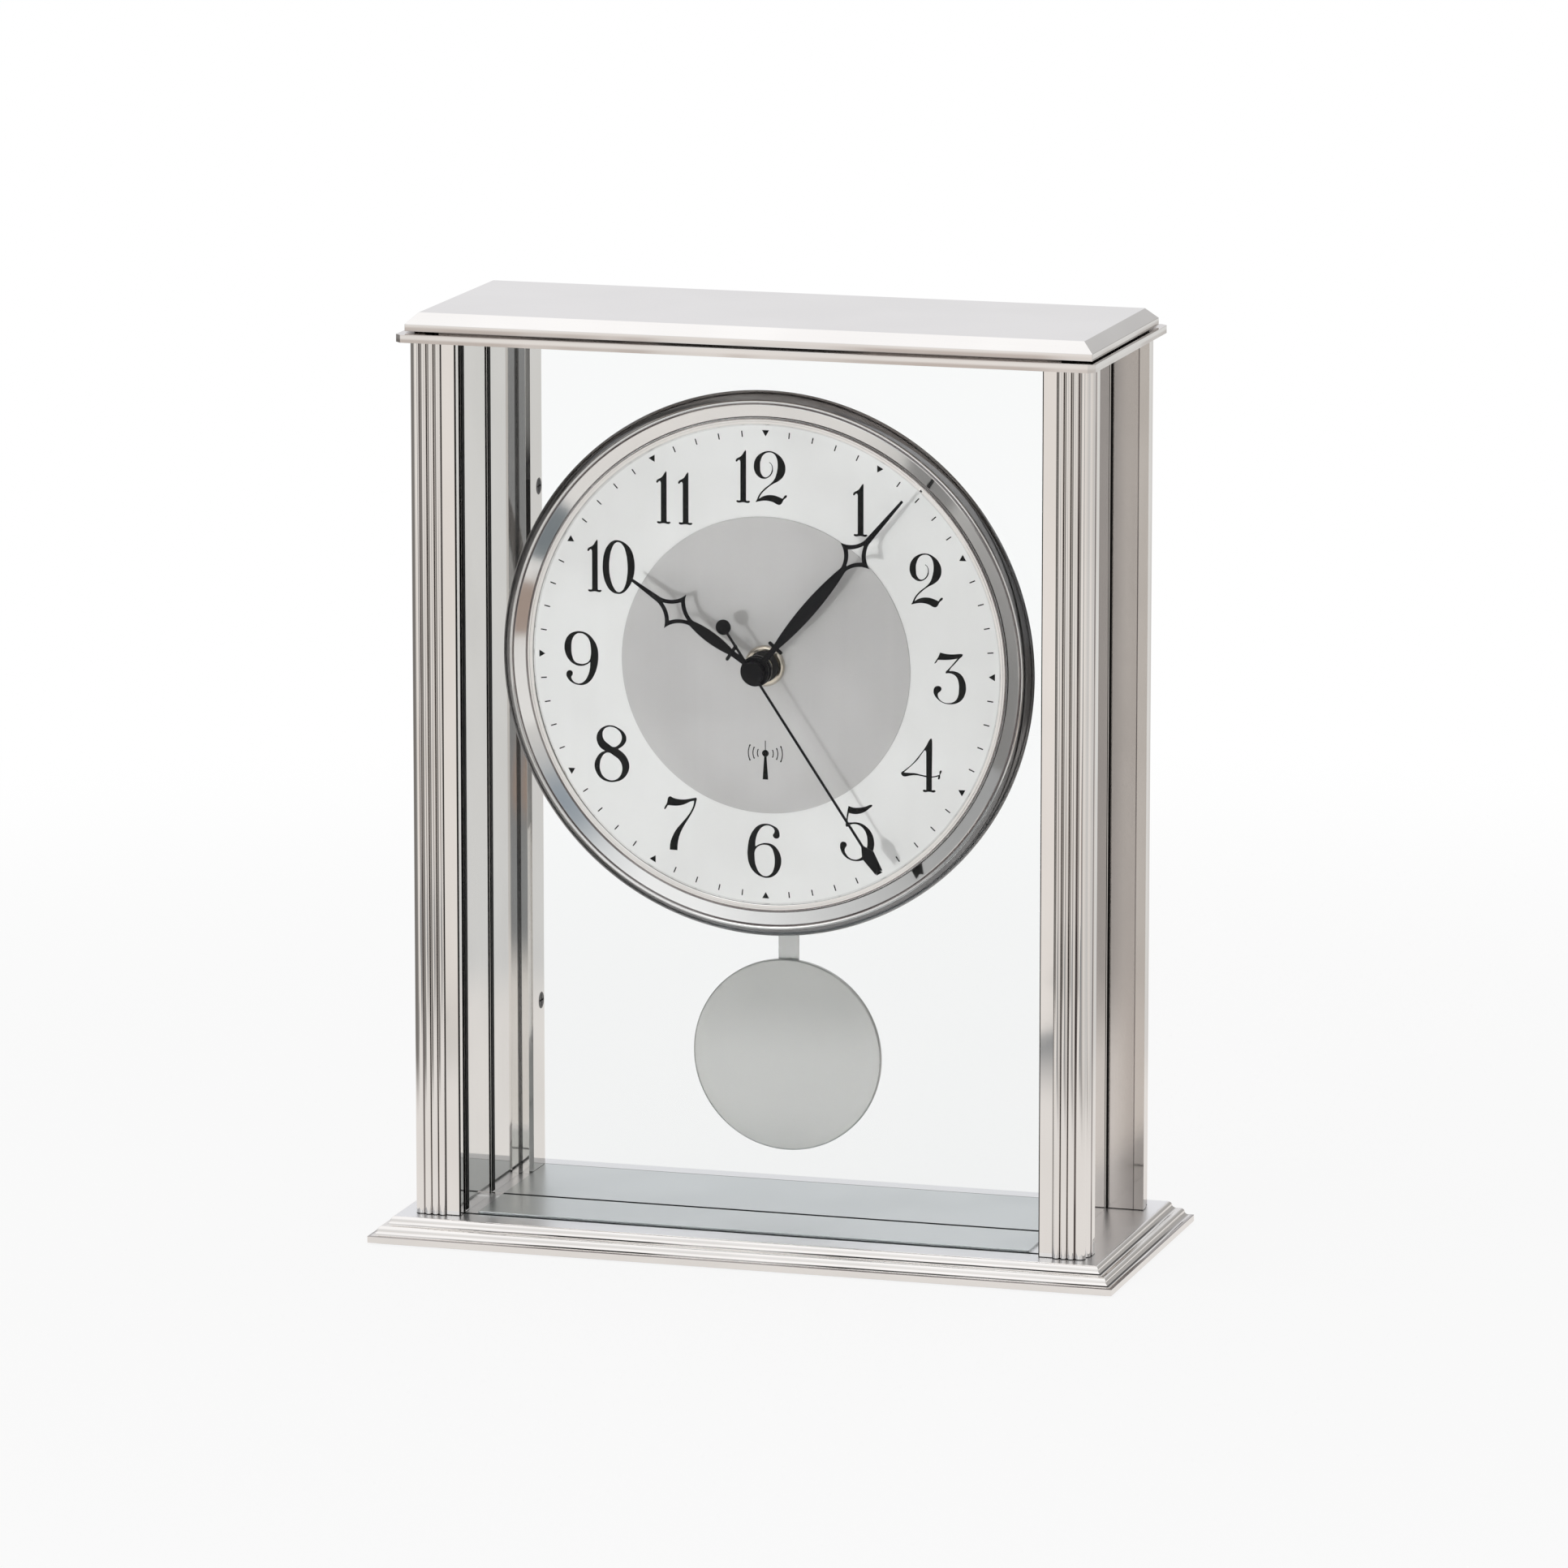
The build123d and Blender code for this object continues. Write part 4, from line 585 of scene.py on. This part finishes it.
def makePaneStrips():
    bm = bmesh.new()
    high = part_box("side_panel_right")[1].z
    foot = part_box("floor_plate")[1].z
    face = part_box("side_panel_right")[0].x
    thick, wide = paneStripLook["thick"] * millimetre, paneStripLook["wide"] * millimetre
    for pane in ("front_glass", "carrier_glass"):
        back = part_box(pane)[1].y + paneStripLook["gap"] * millimetre
        for side in (-1, 1):
            middle = Vector((side * (face - thick / 2), back + wide / 2, (foot + high) / 2))
            scale = Matrix.Diagonal((thick, wide, high - foot, 1))
            bmesh.ops.create_cube(bm, size=1.0, matrix=Matrix.Translation(middle) @ scale)
    least = paneStripLook["uprightFrom"] * millimetre
    upright = [e for e in bm.edges if abs(e.verts[0].co.z - e.verts[1].co.z) > least]
    bmesh.ops.bevel(bm, geom=upright, offset=paneStripLook["round"] * millimetre, offset_type="OFFSET",
                    affect="EDGES", segments=paneStripLook["segments"], profile=0.5, material=-1)
    makePiece("pane_black_strips", bm, materials["printBlack"], "case")


makePaneStrips()
print("seals made")

# Print on the dial. An outline is a loop of (across, up) in millimetres, smooth but at a corner
corner = True
digitOutlines = {
    "0": [[(0, 14.1), (2.1, 13.2), (3.5, 11.6), (4.2, 9.3), (4.35, 6.9), (3.8, 4.0), (2.5, 1.6),
           (1.1, 0.3), (-0.3, 0), (-2.0, 0.6), (-3.4, 2.4), (-4.2, 5.0), (-4.3, 8.0), (-3.8, 10.9),
           (-2.8, 12.8), (-1.5, 13.9)],
          [(0, 13.6), (1.2, 12.8), (2.0, 10.8), (2.4, 7.9), (2.3, 4.8), (1.7, 2.2), (0.8, 0.8),
           (-0.2, 0.5), (-1.2, 1.4), (-2.1, 3.5), (-2.55, 6.5), (-2.4, 9.4), (-1.8, 11.9),
           (-0.9, 13.3)]],
    "1": [[(-1.78, 0.02), (0, 0, corner), (1.7, 0.02), (1.75, 0.36), (0.95, 0.42), (0.76, 0.55, corner),
           (0.76, 13.3, corner), (0.62, 13.6), (0.4, 13.4), (-0.5, 12.1), (-2.02, 10.88),
           (-1.85, 10.48), (-1.1, 11.0), (-0.78, 10.6, corner), (-0.78, 0.55, corner),
           (-0.97, 0.42), (-1.82, 0.36)]],
    "2": [[(-0.05, 10.85, corner), (0.55, 10.3), (0.9, 9.0), (0.6, 7.8), (-0.2, 6.9), (-1.6, 6.4),
           (-3.1, 7.0), (-4.0, 8.2), (-4.25, 9.8), (-3.75, 11.6), (-2.4, 13.0), (0, 13.7),
           (2.1, 13.0), (3.6, 11.5), (4.25, 9.4), (3.75, 7.4), (2.4, 6.0), (0.8, 5.1), (-1.0, 3.7),
           (-2.3, 2.3), (-2.9, 1.15, corner), (-1.5, 1.95), (0.8, 2.25), (2.5, 1.85),
           (3.45, 1.45, corner), (4.5, 2.42), (4.65, 2.15), (3.8, 1.2), (3.15, 0.1),
           (2.65, -0.2), (0.7, 0.5), (-1.2, 0.75), (-3.2, 0.4), (-3.72, 0.28), (-3.5, 0.75),
           (-2.9, 2.1), (-1.5, 3.8), (0.1, 5.1), (1.2, 6.3), (1.85, 8.0), (2.15, 10.2),
           (1.7, 12.3), (1.0, 13.1), (-0.1, 13.35), (-1.5, 12.8), (-2.35, 11.3), (-2.55, 9.2),
           (-2.2, 7.6), (-1.3, 6.85), (-0.3, 7.2), (0.45, 8.3), (0.62, 9.6), (0.3, 10.35),
           (-0.15, 10.7, corner)]],
    "3": [[(-2.75, 13.1, corner), (-1.4, 12.85), (0.3, 12.75), (3.1, 12.98), (3.3, 12.8),
           (2.4, 11.7), (1.3, 10.4), (0.1, 9.1), (-0.3, 8.4, corner), (1.0, 8.4), (2.6, 7.8),
           (3.7, 6.4), (4.2, 4.3), (3.9, 2.4), (3.0, 0.9), (1.6, 0), (-0.2, -0.3), (-2.0, 0),
           (-3.4, 0.9), (-4.3, 2.1), (-4.45, 3.2), (-4.1, 4.0), (-3.3, 4.35), (-2.55, 4.1),
           (-2.35, 3.5), (-2.7, 2.9), (-3.2, 2.5), (-3.3, 1.8), (-2.8, 0.8), (-1.6, 0.1),
           (-0.3, 0.02), (1.1, 0.5), (2.0, 1.7), (2.3, 3.6), (2.2, 5.5), (1.7, 6.8), (0.7, 7.6),
           (-0.6, 7.8), (-1.2, 7.75), (-1.25, 8.05), (-0.5, 8.9), (0.8, 10.4), (1.9, 11.75, corner),
           (0.4, 11.4), (-1.7, 11.2), (-3.3, 11.15, corner), (-3.9, 10.3), (-4.25, 10.2),
           (-4.1, 10.5), (-3.2, 12.0)]],
    "4": [[(0.55, 14.0), (0.25, 13.8), (-0.9, 11.8), (-2.6, 9.4), (-4.7, 6.9), (-6.7, 5.2),
           (-7.5, 4.5), (-7.3, 4.0), (-6.7, 3.65), (-5.3, 3.9), (-3.7, 4.15), (-2.2, 4.0),
           (-0.75, 3.75, corner), (-0.75, 0.45, corner), (-1.6, 0.35), (-1.6, 0.03), (0, 0, corner),
           (1.7, 0.06), (1.7, 0.38), (0.75, 0.45, corner), (0.75, 3.75, corner), (1.6, 3.9),
           (2.5, 4.15, corner), (2.45, 3.42), (2.75, 3.42), (3.0, 4.6), (3.3, 5.72), (3.05, 5.75),
           (2.75, 4.6, corner), (1.7, 4.25), (0.75, 4.05, corner), (0.75, 13.7)],
          [(-0.75, 4.15, corner), (-2.1, 4.35), (-3.7, 4.65), (-5.4, 4.65), (-6.75, 4.7, corner),
           (-5.0, 6.3), (-3.0, 8.3), (-1.6, 10.3), (-1.1, 10.78), (-0.78, 10.4, corner)]],
    "5": [[(-2.6, 14.35, corner), (-1.3, 14.0), (0.3, 14.05), (1.9, 14.4), (3.5, 15.0), (3.8, 14.9),
           (3.0, 14.0), (1.7, 13.0), (0.3, 12.45), (-1.1, 12.3), (-2.5, 12.5, corner),
           (-2.7, 11.5), (-2.85, 10.0, corner), (-1.9, 10.05), (-0.5, 10.15), (0.9, 9.9),
           (2.4, 9.0), (3.6, 7.6), (4.3, 5.5), (4.2, 3.5), (3.5, 1.9), (2.3, 0.8), (0.8, 0.1),
           (-0.7, -0.1), (-2.3, 0.2), (-3.8, 1.2), (-4.7, 2.7), (-4.85, 3.9), (-4.5, 4.7),
           (-3.85, 4.85), (-3.2, 4.5), (-3.1, 3.8), (-3.5, 3.2), (-3.6, 2.5), (-3.2, 1.6),
           (-2.3, 0.7), (-1.0, 0.3), (0.3, 0.6), (1.6, 1.8), (2.3, 3.4), (2.5, 5.3), (2.2, 7.2),
           (1.4, 8.6), (0.3, 9.4), (-0.8, 9.65), (-1.9, 9.5), (-2.8, 8.9), (-3.2, 8.88),
           (-3.2, 10.4), (-2.95, 12.6)]],
    "6": [[(0.5, 14.2), (2.2, 13.8), (3.5, 13.0), (4.0, 11.7), (3.9, 10.8), (3.2, 10.4), (2.5, 10.65),
           (2.2, 11.3), (2.6, 12.0), (2.6, 12.7), (2.1, 13.3), (0.8, 13.75), (-0.6, 13.3),
           (-1.6, 12.2), (-2.3, 10.5), (-2.55, 8.8), (-2.5, 8.05, corner), (-1.4, 8.7), (0.4, 9.1),
           (2.2, 8.7), (3.6, 7.4), (4.4, 5.4), (4.45, 4.0), (3.8, 2.0), (2.6, 0.6), (0.9, -0.1),
           (-0.9, 0.1), (-2.7, 1.1), (-4.0, 2.8), (-4.65, 5.3), (-4.55, 8.1), (-4.0, 10.6),
           (-3.0, 12.4), (-1.6, 13.7)],
          [(0.2, 8.6), (1.6, 8.1), (2.4, 6.6), (2.7, 4.4), (2.4, 2.3), (1.6, 0.9), (0.2, 0.3),
           (-1.2, 0.9), (-2.3, 2.7), (-2.75, 5.2), (-2.6, 7.0), (-1.7, 8.1)]],
    "7": [[(-3.1, 14.15), (-2.1, 13.8), (-0.1, 13.5), (1.9, 13.7), (3.6, 14.1), (4.15, 14.15),
           (4.1, 13.1), (3.5, 11.2), (2.3, 9.0), (0.7, 6.4), (-0.4, 4.0), (-0.9, 1.8),
           (-1.0, 0, corner), (-3.1, 0.03, corner), (-2.9, 2.0), (-2.3, 3.7), (-1.3, 5.5),
           (0.1, 7.2), (1.7, 9.1), (2.8, 10.8), (3.4, 12.3), (3.55, 13.35, corner), (2.6, 13.1),
           (1.0, 12.3), (-0.9, 11.8), (-3.6, 11.8, corner), (-4.1, 10.95), (-4.5, 10.68),
           (-4.55, 10.95), (-3.9, 12.2)]],
    "8": [[(0, 14.85), (2.0, 14.2), (3.6, 12.9), (4.05, 11.4), (3.4, 9.9), (1.8, 8.65, corner),
           (3.3, 7.6), (4.4, 6.1), (4.85, 4.3), (4.3, 2.3), (2.9, 0.7), (1.2, 0), (-0.7, -0.15),
           (-2.8, 0.6), (-4.2, 2.3), (-4.65, 4.2), (-4.1, 6.0), (-2.9, 7.5), (-1.8, 8.0, corner),
           (-3.1, 8.9), (-3.9, 10.3), (-4.05, 11.7), (-3.4, 13.3), (-1.9, 14.5)],
          [(0, 14.45), (1.7, 13.8), (2.7, 12.5), (2.7, 11.0), (1.9, 9.8), (0.6, 9.15), (-0.7, 9.8),
           (-2.0, 10.9), (-2.45, 12.3), (-2.0, 13.7), (-1.1, 14.3)],
          [(-0.8, 7.6), (0.6, 6.9), (2.1, 5.8), (2.85, 4.3), (2.8, 2.7), (2.0, 1.2), (0.7, 0.4),
           (-0.8, 0.4), (-2.3, 1.3), (-3.1, 2.9), (-3.15, 4.8), (-2.7, 6.2), (-1.8, 7.3)]],
    "9": [[(-0.2, 14.05), (1.6, 13.5), (3.2, 12.0), (4.2, 10.1), (4.5, 7.7), (4.2, 5.1), (3.5, 3.0),
           (2.3, 1.1), (0.9, 0.1), (-0.8, -0.15), (-2.5, 0.3), (-3.8, 1.4), (-4.25, 2.5),
           (-3.9, 3.4), (-3.2, 3.65), (-2.6, 3.3), (-2.55, 2.5), (-2.9, 1.9), (-2.6, 1.1),
           (-1.7, 0.4), (-0.5, 0.3), (0.7, 1.0), (1.6, 2.4), (2.15, 4.2), (2.3, 6.05, corner),
           (1.2, 5.3), (-0.4, 4.9), (-2.1, 5.3), (-3.5, 6.4), (-4.5, 8.2), (-4.75, 9.8),
           (-4.4, 11.6), (-3.4, 13.1), (-2.0, 13.85)],
          [(-0.4, 13.55), (1.0, 13.1), (2.0, 11.9), (2.45, 9.8), (2.4, 7.6), (2.0, 6.4), (0.8, 5.6),
           (-0.6, 5.5), (-1.9, 6.0), (-2.6, 7.4), (-2.85, 9.6), (-2.5, 12.0), (-1.6, 13.2)]],
}
# Numerals: each digit with its foot's place from the centre of the dial
numerals = {
    12: [("1", -6.0, 42.4), ("2", 1.1, 42.35)], 1: [("1", 25.5, 35.1)], 2: [("2", 42.85, 17.7)],
    3: [("3", 49.55, -7.3)], 4: [("4", 43.95, -30.8)], 5: [("5", 24.95, -50.1)],
    6: [("6", -0.25, -55.9)], 7: [("7", -22.95, -50.1)], 8: [("8", -41.85, -32.9)],
    9: [("9", -49.85, -7.7)], 10: [("1", -46.2, 17.1), ("0", -39.75, 16.7)],
    11: [("1", -27.45, 35.9), ("1", -21.55, 35.9)],
}
inkLook = {"thick": 0.03, "sunk": 0.005, "tickInner": 59.75, "tickOuter": 61.35, "tickWide": 0.32,
           "wedgeOuter": 61.45, "wedgeSide": 1.9, "roundSteps": 6}
mastLook = {"ball": (0, -23.1), "ballRadius": 0.9, "needleTop": -19.75, "needleWide": 0.22,
            "foot": -30.0, "footWide": 1.5, "neckWide": 0.62, "waveRadii": (2.15, 3.35, 4.6),
            "waveWide": 0.26, "waveHalfAngle": 27, "wavePoints": 9, "ballPoints": 8, "joint": 0.8,
            "layer": 0.002}


def inkCurve(name, loops, surface):
    curve = bpy.data.curves.new(name, "CURVE")
    curve.dimensions = "2D"
    curve.fill_mode = "BOTH"
    curve.resolution_u = inkLook["roundSteps"]
    curve.extrude = inkLook["thick"] / 2
    for loop in loops:
        spline = curve.splines.new("BEZIER")
        spline.bezier_points.add(len(loop) - 1)
        spline.use_cyclic_u = True
        for point, place in zip(spline.bezier_points, loop):
            point.co = (place[0], place[1], 0)
            kind = "VECTOR" if len(place) > 2 else "AUTO"
            point.handle_left_type = kind
            point.handle_right_type = kind
    maker = bpy.data.objects.new(name, curve)
    bpy.context.scene.collection.objects.link(maker)
    bpy.context.view_layer.update()
    mesh = bpy.data.meshes.new_from_object(maker.evaluated_get(bpy.context.evaluated_depsgraph_get()))
    bpy.data.objects.remove(maker)
    mesh.transform(Matrix.Scale(millimetre, 4))
    mesh.transform(Matrix.Rotation(math.radians(90), 4, "X"))
    lift = (inkLook["thick"] / 2 - inkLook["sunk"]) * millimetre
    mesh.transform(Matrix.Translation((headCentre.x, surface - lift, headCentre.z)))
    bm = bmesh.new()
    bm.from_mesh(mesh)
    bpy.data.meshes.remove(mesh)
    bmesh.ops.remove_doubles(bm, verts=bm.verts, dist=edgeLook["merge"])
    bmesh.ops.recalc_face_normals(bm, faces=bm.faces)
    makePiece(name, bm, materials["printBlack"], "case")


def makeNumerals():
    loops = []
    for hour in sorted(numerals):
        for digit, across, up in numerals[hour]:
            for outline in digitOutlines[digit]:
                loops.append([(across + p[0], up + p[1], *p[2:]) for p in outline])
    inkCurve("dial_numerals", loops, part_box("dial_plate")[0].y)


def onRing(radius, angle, sideways=0.0):
    turn = math.radians(angle)
    return (radius * math.sin(turn) + sideways * math.cos(turn),
            radius * math.cos(turn) - sideways * math.sin(turn), corner)


def makeMinuteMarks():
    loops = []
    for minute in range(60):
        angle = minute * 6
        if minute % 5:
            inner, outer, half = inkLook["tickInner"], inkLook["tickOuter"], inkLook["tickWide"] / 2
            loops.append([onRing(inner, angle, -half), onRing(outer, angle, -half),
                          onRing(outer, angle, half), onRing(inner, angle, half)])
        else:
            outer, half = inkLook["wedgeOuter"], inkLook["wedgeSide"] / 2
            tip = outer - inkLook["wedgeSide"] * math.sqrt(3) / 2
            loops.append([onRing(tip, angle), onRing(outer, angle, -half), onRing(outer, angle, half)])
    inkCurve("minute_marks", loops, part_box("dial_plate")[0].y)


def makeMast():
    across, up = mastLook["ball"]
    radius = mastLook["ballRadius"]
    turns = [math.tau * i / mastLook["ballPoints"] for i in range(mastLook["ballPoints"])]
    circle = [(across + radius * math.cos(t), up + radius * math.sin(t)) for t in turns]
    needle, neck, foot = mastLook["needleWide"] / 2, mastLook["neckWide"] / 2, mastLook["footWide"] / 2
    top, inside = mastLook["needleTop"], radius * mastLook["joint"]
    mast = [circle]
    mast.append([(across - needle, up + inside, corner), (across - needle, top, corner),
                 (across + needle, top, corner), (across + needle, up + inside, corner)])
    mast.append([(across - neck, up - inside, corner), (across + neck, up - inside, corner),
                 (across + foot, mastLook["foot"], corner), (across - foot, mastLook["foot"], corner)])
    waves, halfWide = [], mastLook["waveWide"] / 2
    half, steps = mastLook["waveHalfAngle"], mastLook["wavePoints"] - 1
    turns = [math.radians(-half + 2 * half * i / steps) for i in range(steps + 1)]
    for radius in mastLook["waveRadii"]:
        for side in (1, -1):
            edges = []
            for reach in (radius - halfWide, radius + halfWide):
                edges.append([(across + side * reach * math.cos(t), up + reach * math.sin(t))
                              for t in turns])
            waves.append(edges[0] + edges[1][::-1])
    for number, loop in enumerate(mast):
        lift = number * mastLook["layer"] * millimetre
        inkCurve("radio_mast_" + str(number + 1), [loop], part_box("dial_centre")[0].y - lift)
    inkCurve("radio_waves", waves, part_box("dial_centre")[0].y)


makeNumerals()
makeMinuteMarks()
makeMast()
print("print made")


# Camera at the photograph's angle
cameraLook = {"place": (0.716396, -2.389916, 0.608270), "aim": (0.0005, -0.0003, 0.1205),
              "lens": 224.13, "sensor": 36.0}
cameraData = bpy.data.cameras.new("camera")
cameraData.lens = cameraLook["lens"]
cameraData.sensor_width = cameraLook["sensor"]
camera = bpy.data.objects.new("camera", cameraData)
camera.location = cameraLook["place"]
camera.rotation_mode = "QUATERNION"
sight = Vector(cameraLook["aim"]) - Vector(cameraLook["place"])
camera.rotation_quaternion = sight.to_track_quat("-Z", "Y")
bpy.context.scene.collection.objects.link(camera)
bpy.context.scene.camera = camera

# Studio: what mirrored rays meet round the clock, by compass angle from the front, as
# (angle, red, green, blue); the plain level lights everything else
studioLook = {"floorSize": 10.0, "paper": (0.86, 0.86, 0.86, 1), "paperLight": (0.9, 0.9, 0.9, 1),
              "fibre": 300.0, "paperRough": 0.8, "paperShare": 0.12, "paperFrom": 0.05, "paperTo": 0.5,
              "level": 0.57, "nearFrom": 0.05, "nearTo": 0.10, "nearColour": (0.80, 0.775, 0.755, 1),
              "overhead": (1.06, 1.055, 1.06, 1), "overheadFrom": 0.30, "overheadTo": 0.85}
floorRound = [(-180, 0.66, 0.66, 0.66), (-160, 0.66, 0.66, 0.66), (-125, 0.35, 0.34, 0.33),
              (-100, 0.20, 0.19, 0.18), (-72, 0.20, 0.19, 0.18), (-54, 0.22, 0.21, 0.20),
              (-44, 0.25, 0.245, 0.24), (-38, 0.42, 0.41, 0.40), (-33, 0.60, 0.59, 0.57),
              (-28, 0.78, 0.75, 0.72), (-8, 0.84, 0.80, 0.77), (5, 0.84, 0.82, 0.80),
              (44, 0.80, 0.77, 0.74), (58, 0.74, 0.71, 0.69), (72, 0.70, 0.68, 0.66),
              (105, 0.60, 0.59, 0.58), (132, 0.64, 0.63, 0.62), (148, 0.68, 0.67, 0.66),
              (160, 0.72, 0.715, 0.70), (180, 0.66, 0.66, 0.66)]
skyRound = [(-180, 0.76, 0.76, 0.77), (-160, 0.80, 0.795, 0.81), (-120, 0.60, 0.60, 0.62),
            (-90, 0.30, 0.31, 0.33), (-60, 0.36, 0.36, 0.37), (-40, 0.40, 0.40, 0.40),
            (-31, 0.58, 0.58, 0.58), (-17, 0.84, 0.84, 0.84), (-8, 0.98, 0.98, 0.98),
            (-2, 1.0, 1.0, 1.0), (3.5, 0.76, 0.77, 0.78), (7.5, 0.30, 0.34, 0.38),
            (10, 0.30, 0.34, 0.38), (12, 0.66, 0.64, 0.62), (20, 0.78, 0.76, 0.74),
            (45, 0.70, 0.69, 0.68), (85, 0.14, 0.13, 0.12), (130, 0.30, 0.29, 0.28),
            (166, 0.42, 0.41, 0.40), (180, 0.76, 0.76, 0.77)]
# Darker lane of the floor to the front right, seen in the walls that face forwards
laneLook = {"turn": 16.68, "from": -0.096, "fade": 0.012, "to": 0.16, "toFade": 0.048,
            "far": 0.09, "farTo": 0.18, "leftColour": (0.27, 0.28, 0.29, 1),
            "rightColour": (0.40, 0.385, 0.375, 1), "mixFrom": -0.02, "mixTo": 0.05}


def roundColour(wire, x, y, stops):
    turn = x.maths("ARCTAN2", x, 0 - y) * (1 / math.tau) + 0.5
    places = [((angle + 180) / 360, (r, g, b, 1)) for angle, r, g, b in stops]
    return wire.node("ShaderNodeValToRGB", {"stops": places}, {0: turn})


# Camera rays see white, rays off the clock see the round colours, diffuse ones the plain level.
# A depth counts bounces in whole numbers, so one above noBounce has bounced
noBounce = 0.5


def sortRays(wire, seen, mirrored, plain):
    mirrors = wire.node("ShaderNodeLightPath", out="Glossy Depth") > noBounce
    scattered = wire.node("ShaderNodeLightPath", out="Diffuse Depth") > noBounce
    first = wire.node("ShaderNodeMixShader", None, {0: mirrors, 1: seen, 2: mirrored})
    return wire.node("ShaderNodeMixShader", None, {0: scattered, 1: first, 2: plain})


# Muted patches of the floor that only the mirrors show: place, reach, colour.
# They fade over spotEdge, in squares of their reach
floorSpots = {"warmSpot": ((0.073, -0.63), (0.045, 0.15), (0.37, 0.285, 0.24, 1)),
              "coolSpot": ((0.010, -0.42), (0.028, 0.055), (0.195, 0.22, 0.235, 1)),
              "darkSpot": ((-0.19, -0.278), (0.022, 0.03), (0.26, 0.255, 0.25, 1))}
spotEdge = (0.8, 1.2)


def floorMaterial():
    material, wire = newMaterial("paper")
    x, y = wire.place().axes()[:2]
    look, turn = laneLook, math.radians(laneLook["turn"])
    across = x * math.cos(turn) + y * math.sin(turn)
    lane = across.step(look["from"], look["from"] + look["fade"])
    lane = lane * (0 - y).step(look["far"], look["farTo"])
    lane = lane * (1 - across.step(look["to"], look["to"] + look["toFade"]))
    near = 1 - (x * x + y * y).step(studioLook["nearFrom"], studioLook["nearTo"])
    laneShare = across.step(look["mixFrom"], look["mixTo"])
    laneColour = wire.mix(laneShare, look["leftColour"], look["rightColour"])
    colour = wire.mix(lane, roundColour(wire, x, y, floorRound), laneColour)
    colour = wire.mix(near, colour, studioLook["nearColour"])
    for place, reach, tint in floorSpots.values():
        across, along = (x - place[0]) * (1 / reach[0]), (y - place[1]) * (1 / reach[1])
        inside = 1 - (across * across + along * along).step(*spotEdge)
        colour = wire.mix(inside, colour, tint)
    mirrored = wire.node("ShaderNodeEmission", None, {"Color": colour})
    white = wire.node("ShaderNodeEmission")
    fibre = wire.noise(wire.place(), studioLook["fibre"])
    paper = wire.node("ShaderNodeBsdfPrincipled", None, {
        "Base Color": wire.mix(fibre, studioLook["paper"], studioLook["paperLight"]),
        "Roughness": studioLook["paperRough"]})
    distance = (x * x + y * y).step(studioLook["paperFrom"], studioLook["paperTo"])
    share = 1 - studioLook["paperShare"] * (1 - distance)
    seen = wire.node("ShaderNodeMixShader", None, {0: share, 1: paper, 2: white})
    whole = sortRays(wire, seen, mirrored, paper)
    wire.node("ShaderNodeOutputMaterial", None, {"Surface": whole})
    return material


def makeStudio():
    bm = bmesh.new()
    bmesh.ops.create_grid(bm, x_segments=1, y_segments=1, size=studioLook["floorSize"] / 2)
    mesh = bpy.data.meshes.new("floor")
    bm.to_mesh(mesh)
    bm.free()
    floor = bpy.data.objects.new("floor", mesh)
    mesh.materials.append(floorMaterial())
    bpy.context.scene.collection.objects.link(floor)
    world = bpy.data.worlds.new("studio")
    bpy.context.scene.world = world
    world.use_nodes = True
    world.node_tree.nodes.clear()
    wire = Wire(world.node_tree)
    x, y, z = wire.node("ShaderNodeTexCoord", out=0).axes()
    high = z.step(studioLook["overheadFrom"], studioLook["overheadTo"])
    sky = wire.mix(high, roundColour(wire, x, y, skyRound), studioLook["overhead"])
    level = studioLook["level"]
    mirrored = wire.node("ShaderNodeBackground", None, {"Color": sky})
    plain = wire.node("ShaderNodeBackground", None, {"Color": (level, level, level, 1)})
    white = wire.node("ShaderNodeBackground", None, {"Color": (1, 1, 1, 1)})
    wire.node("ShaderNodeOutputWorld", None, {"Surface": sortRays(wire, white, mirrored, plain)})


# Lamps: place, what they face, width and power in watts
lamps = {
    "frontLamp": {"place": (-0.20, -1.60, 0.07), "face": (0, 0, 0.15), "size": 0.07, "power": 6.4},
    "topLamp": {"place": (-0.5, -0.4, 1.5), "face": (0, 0, 0.12), "size": 0.9, "power": 2.0},
}


def makeLamps():
    for name, look in lamps.items():
        data = bpy.data.lights.new(name, "AREA")
        data.size = look["size"]
        data.energy = look["power"]
        lamp = bpy.data.objects.new(name, data)
        lamp.location = look["place"]
        lamp.rotation_mode = "QUATERNION"
        way = Vector(look["face"]) - Vector(look["place"])
        lamp.rotation_quaternion = way.to_track_quat("-Z", "Y")
        lamp.visible_glossy = False
        bpy.context.scene.collection.objects.link(lamp)


makeStudio()
makeLamps()
bpy.context.scene.view_settings.view_transform = "Standard"
print("studio ready")
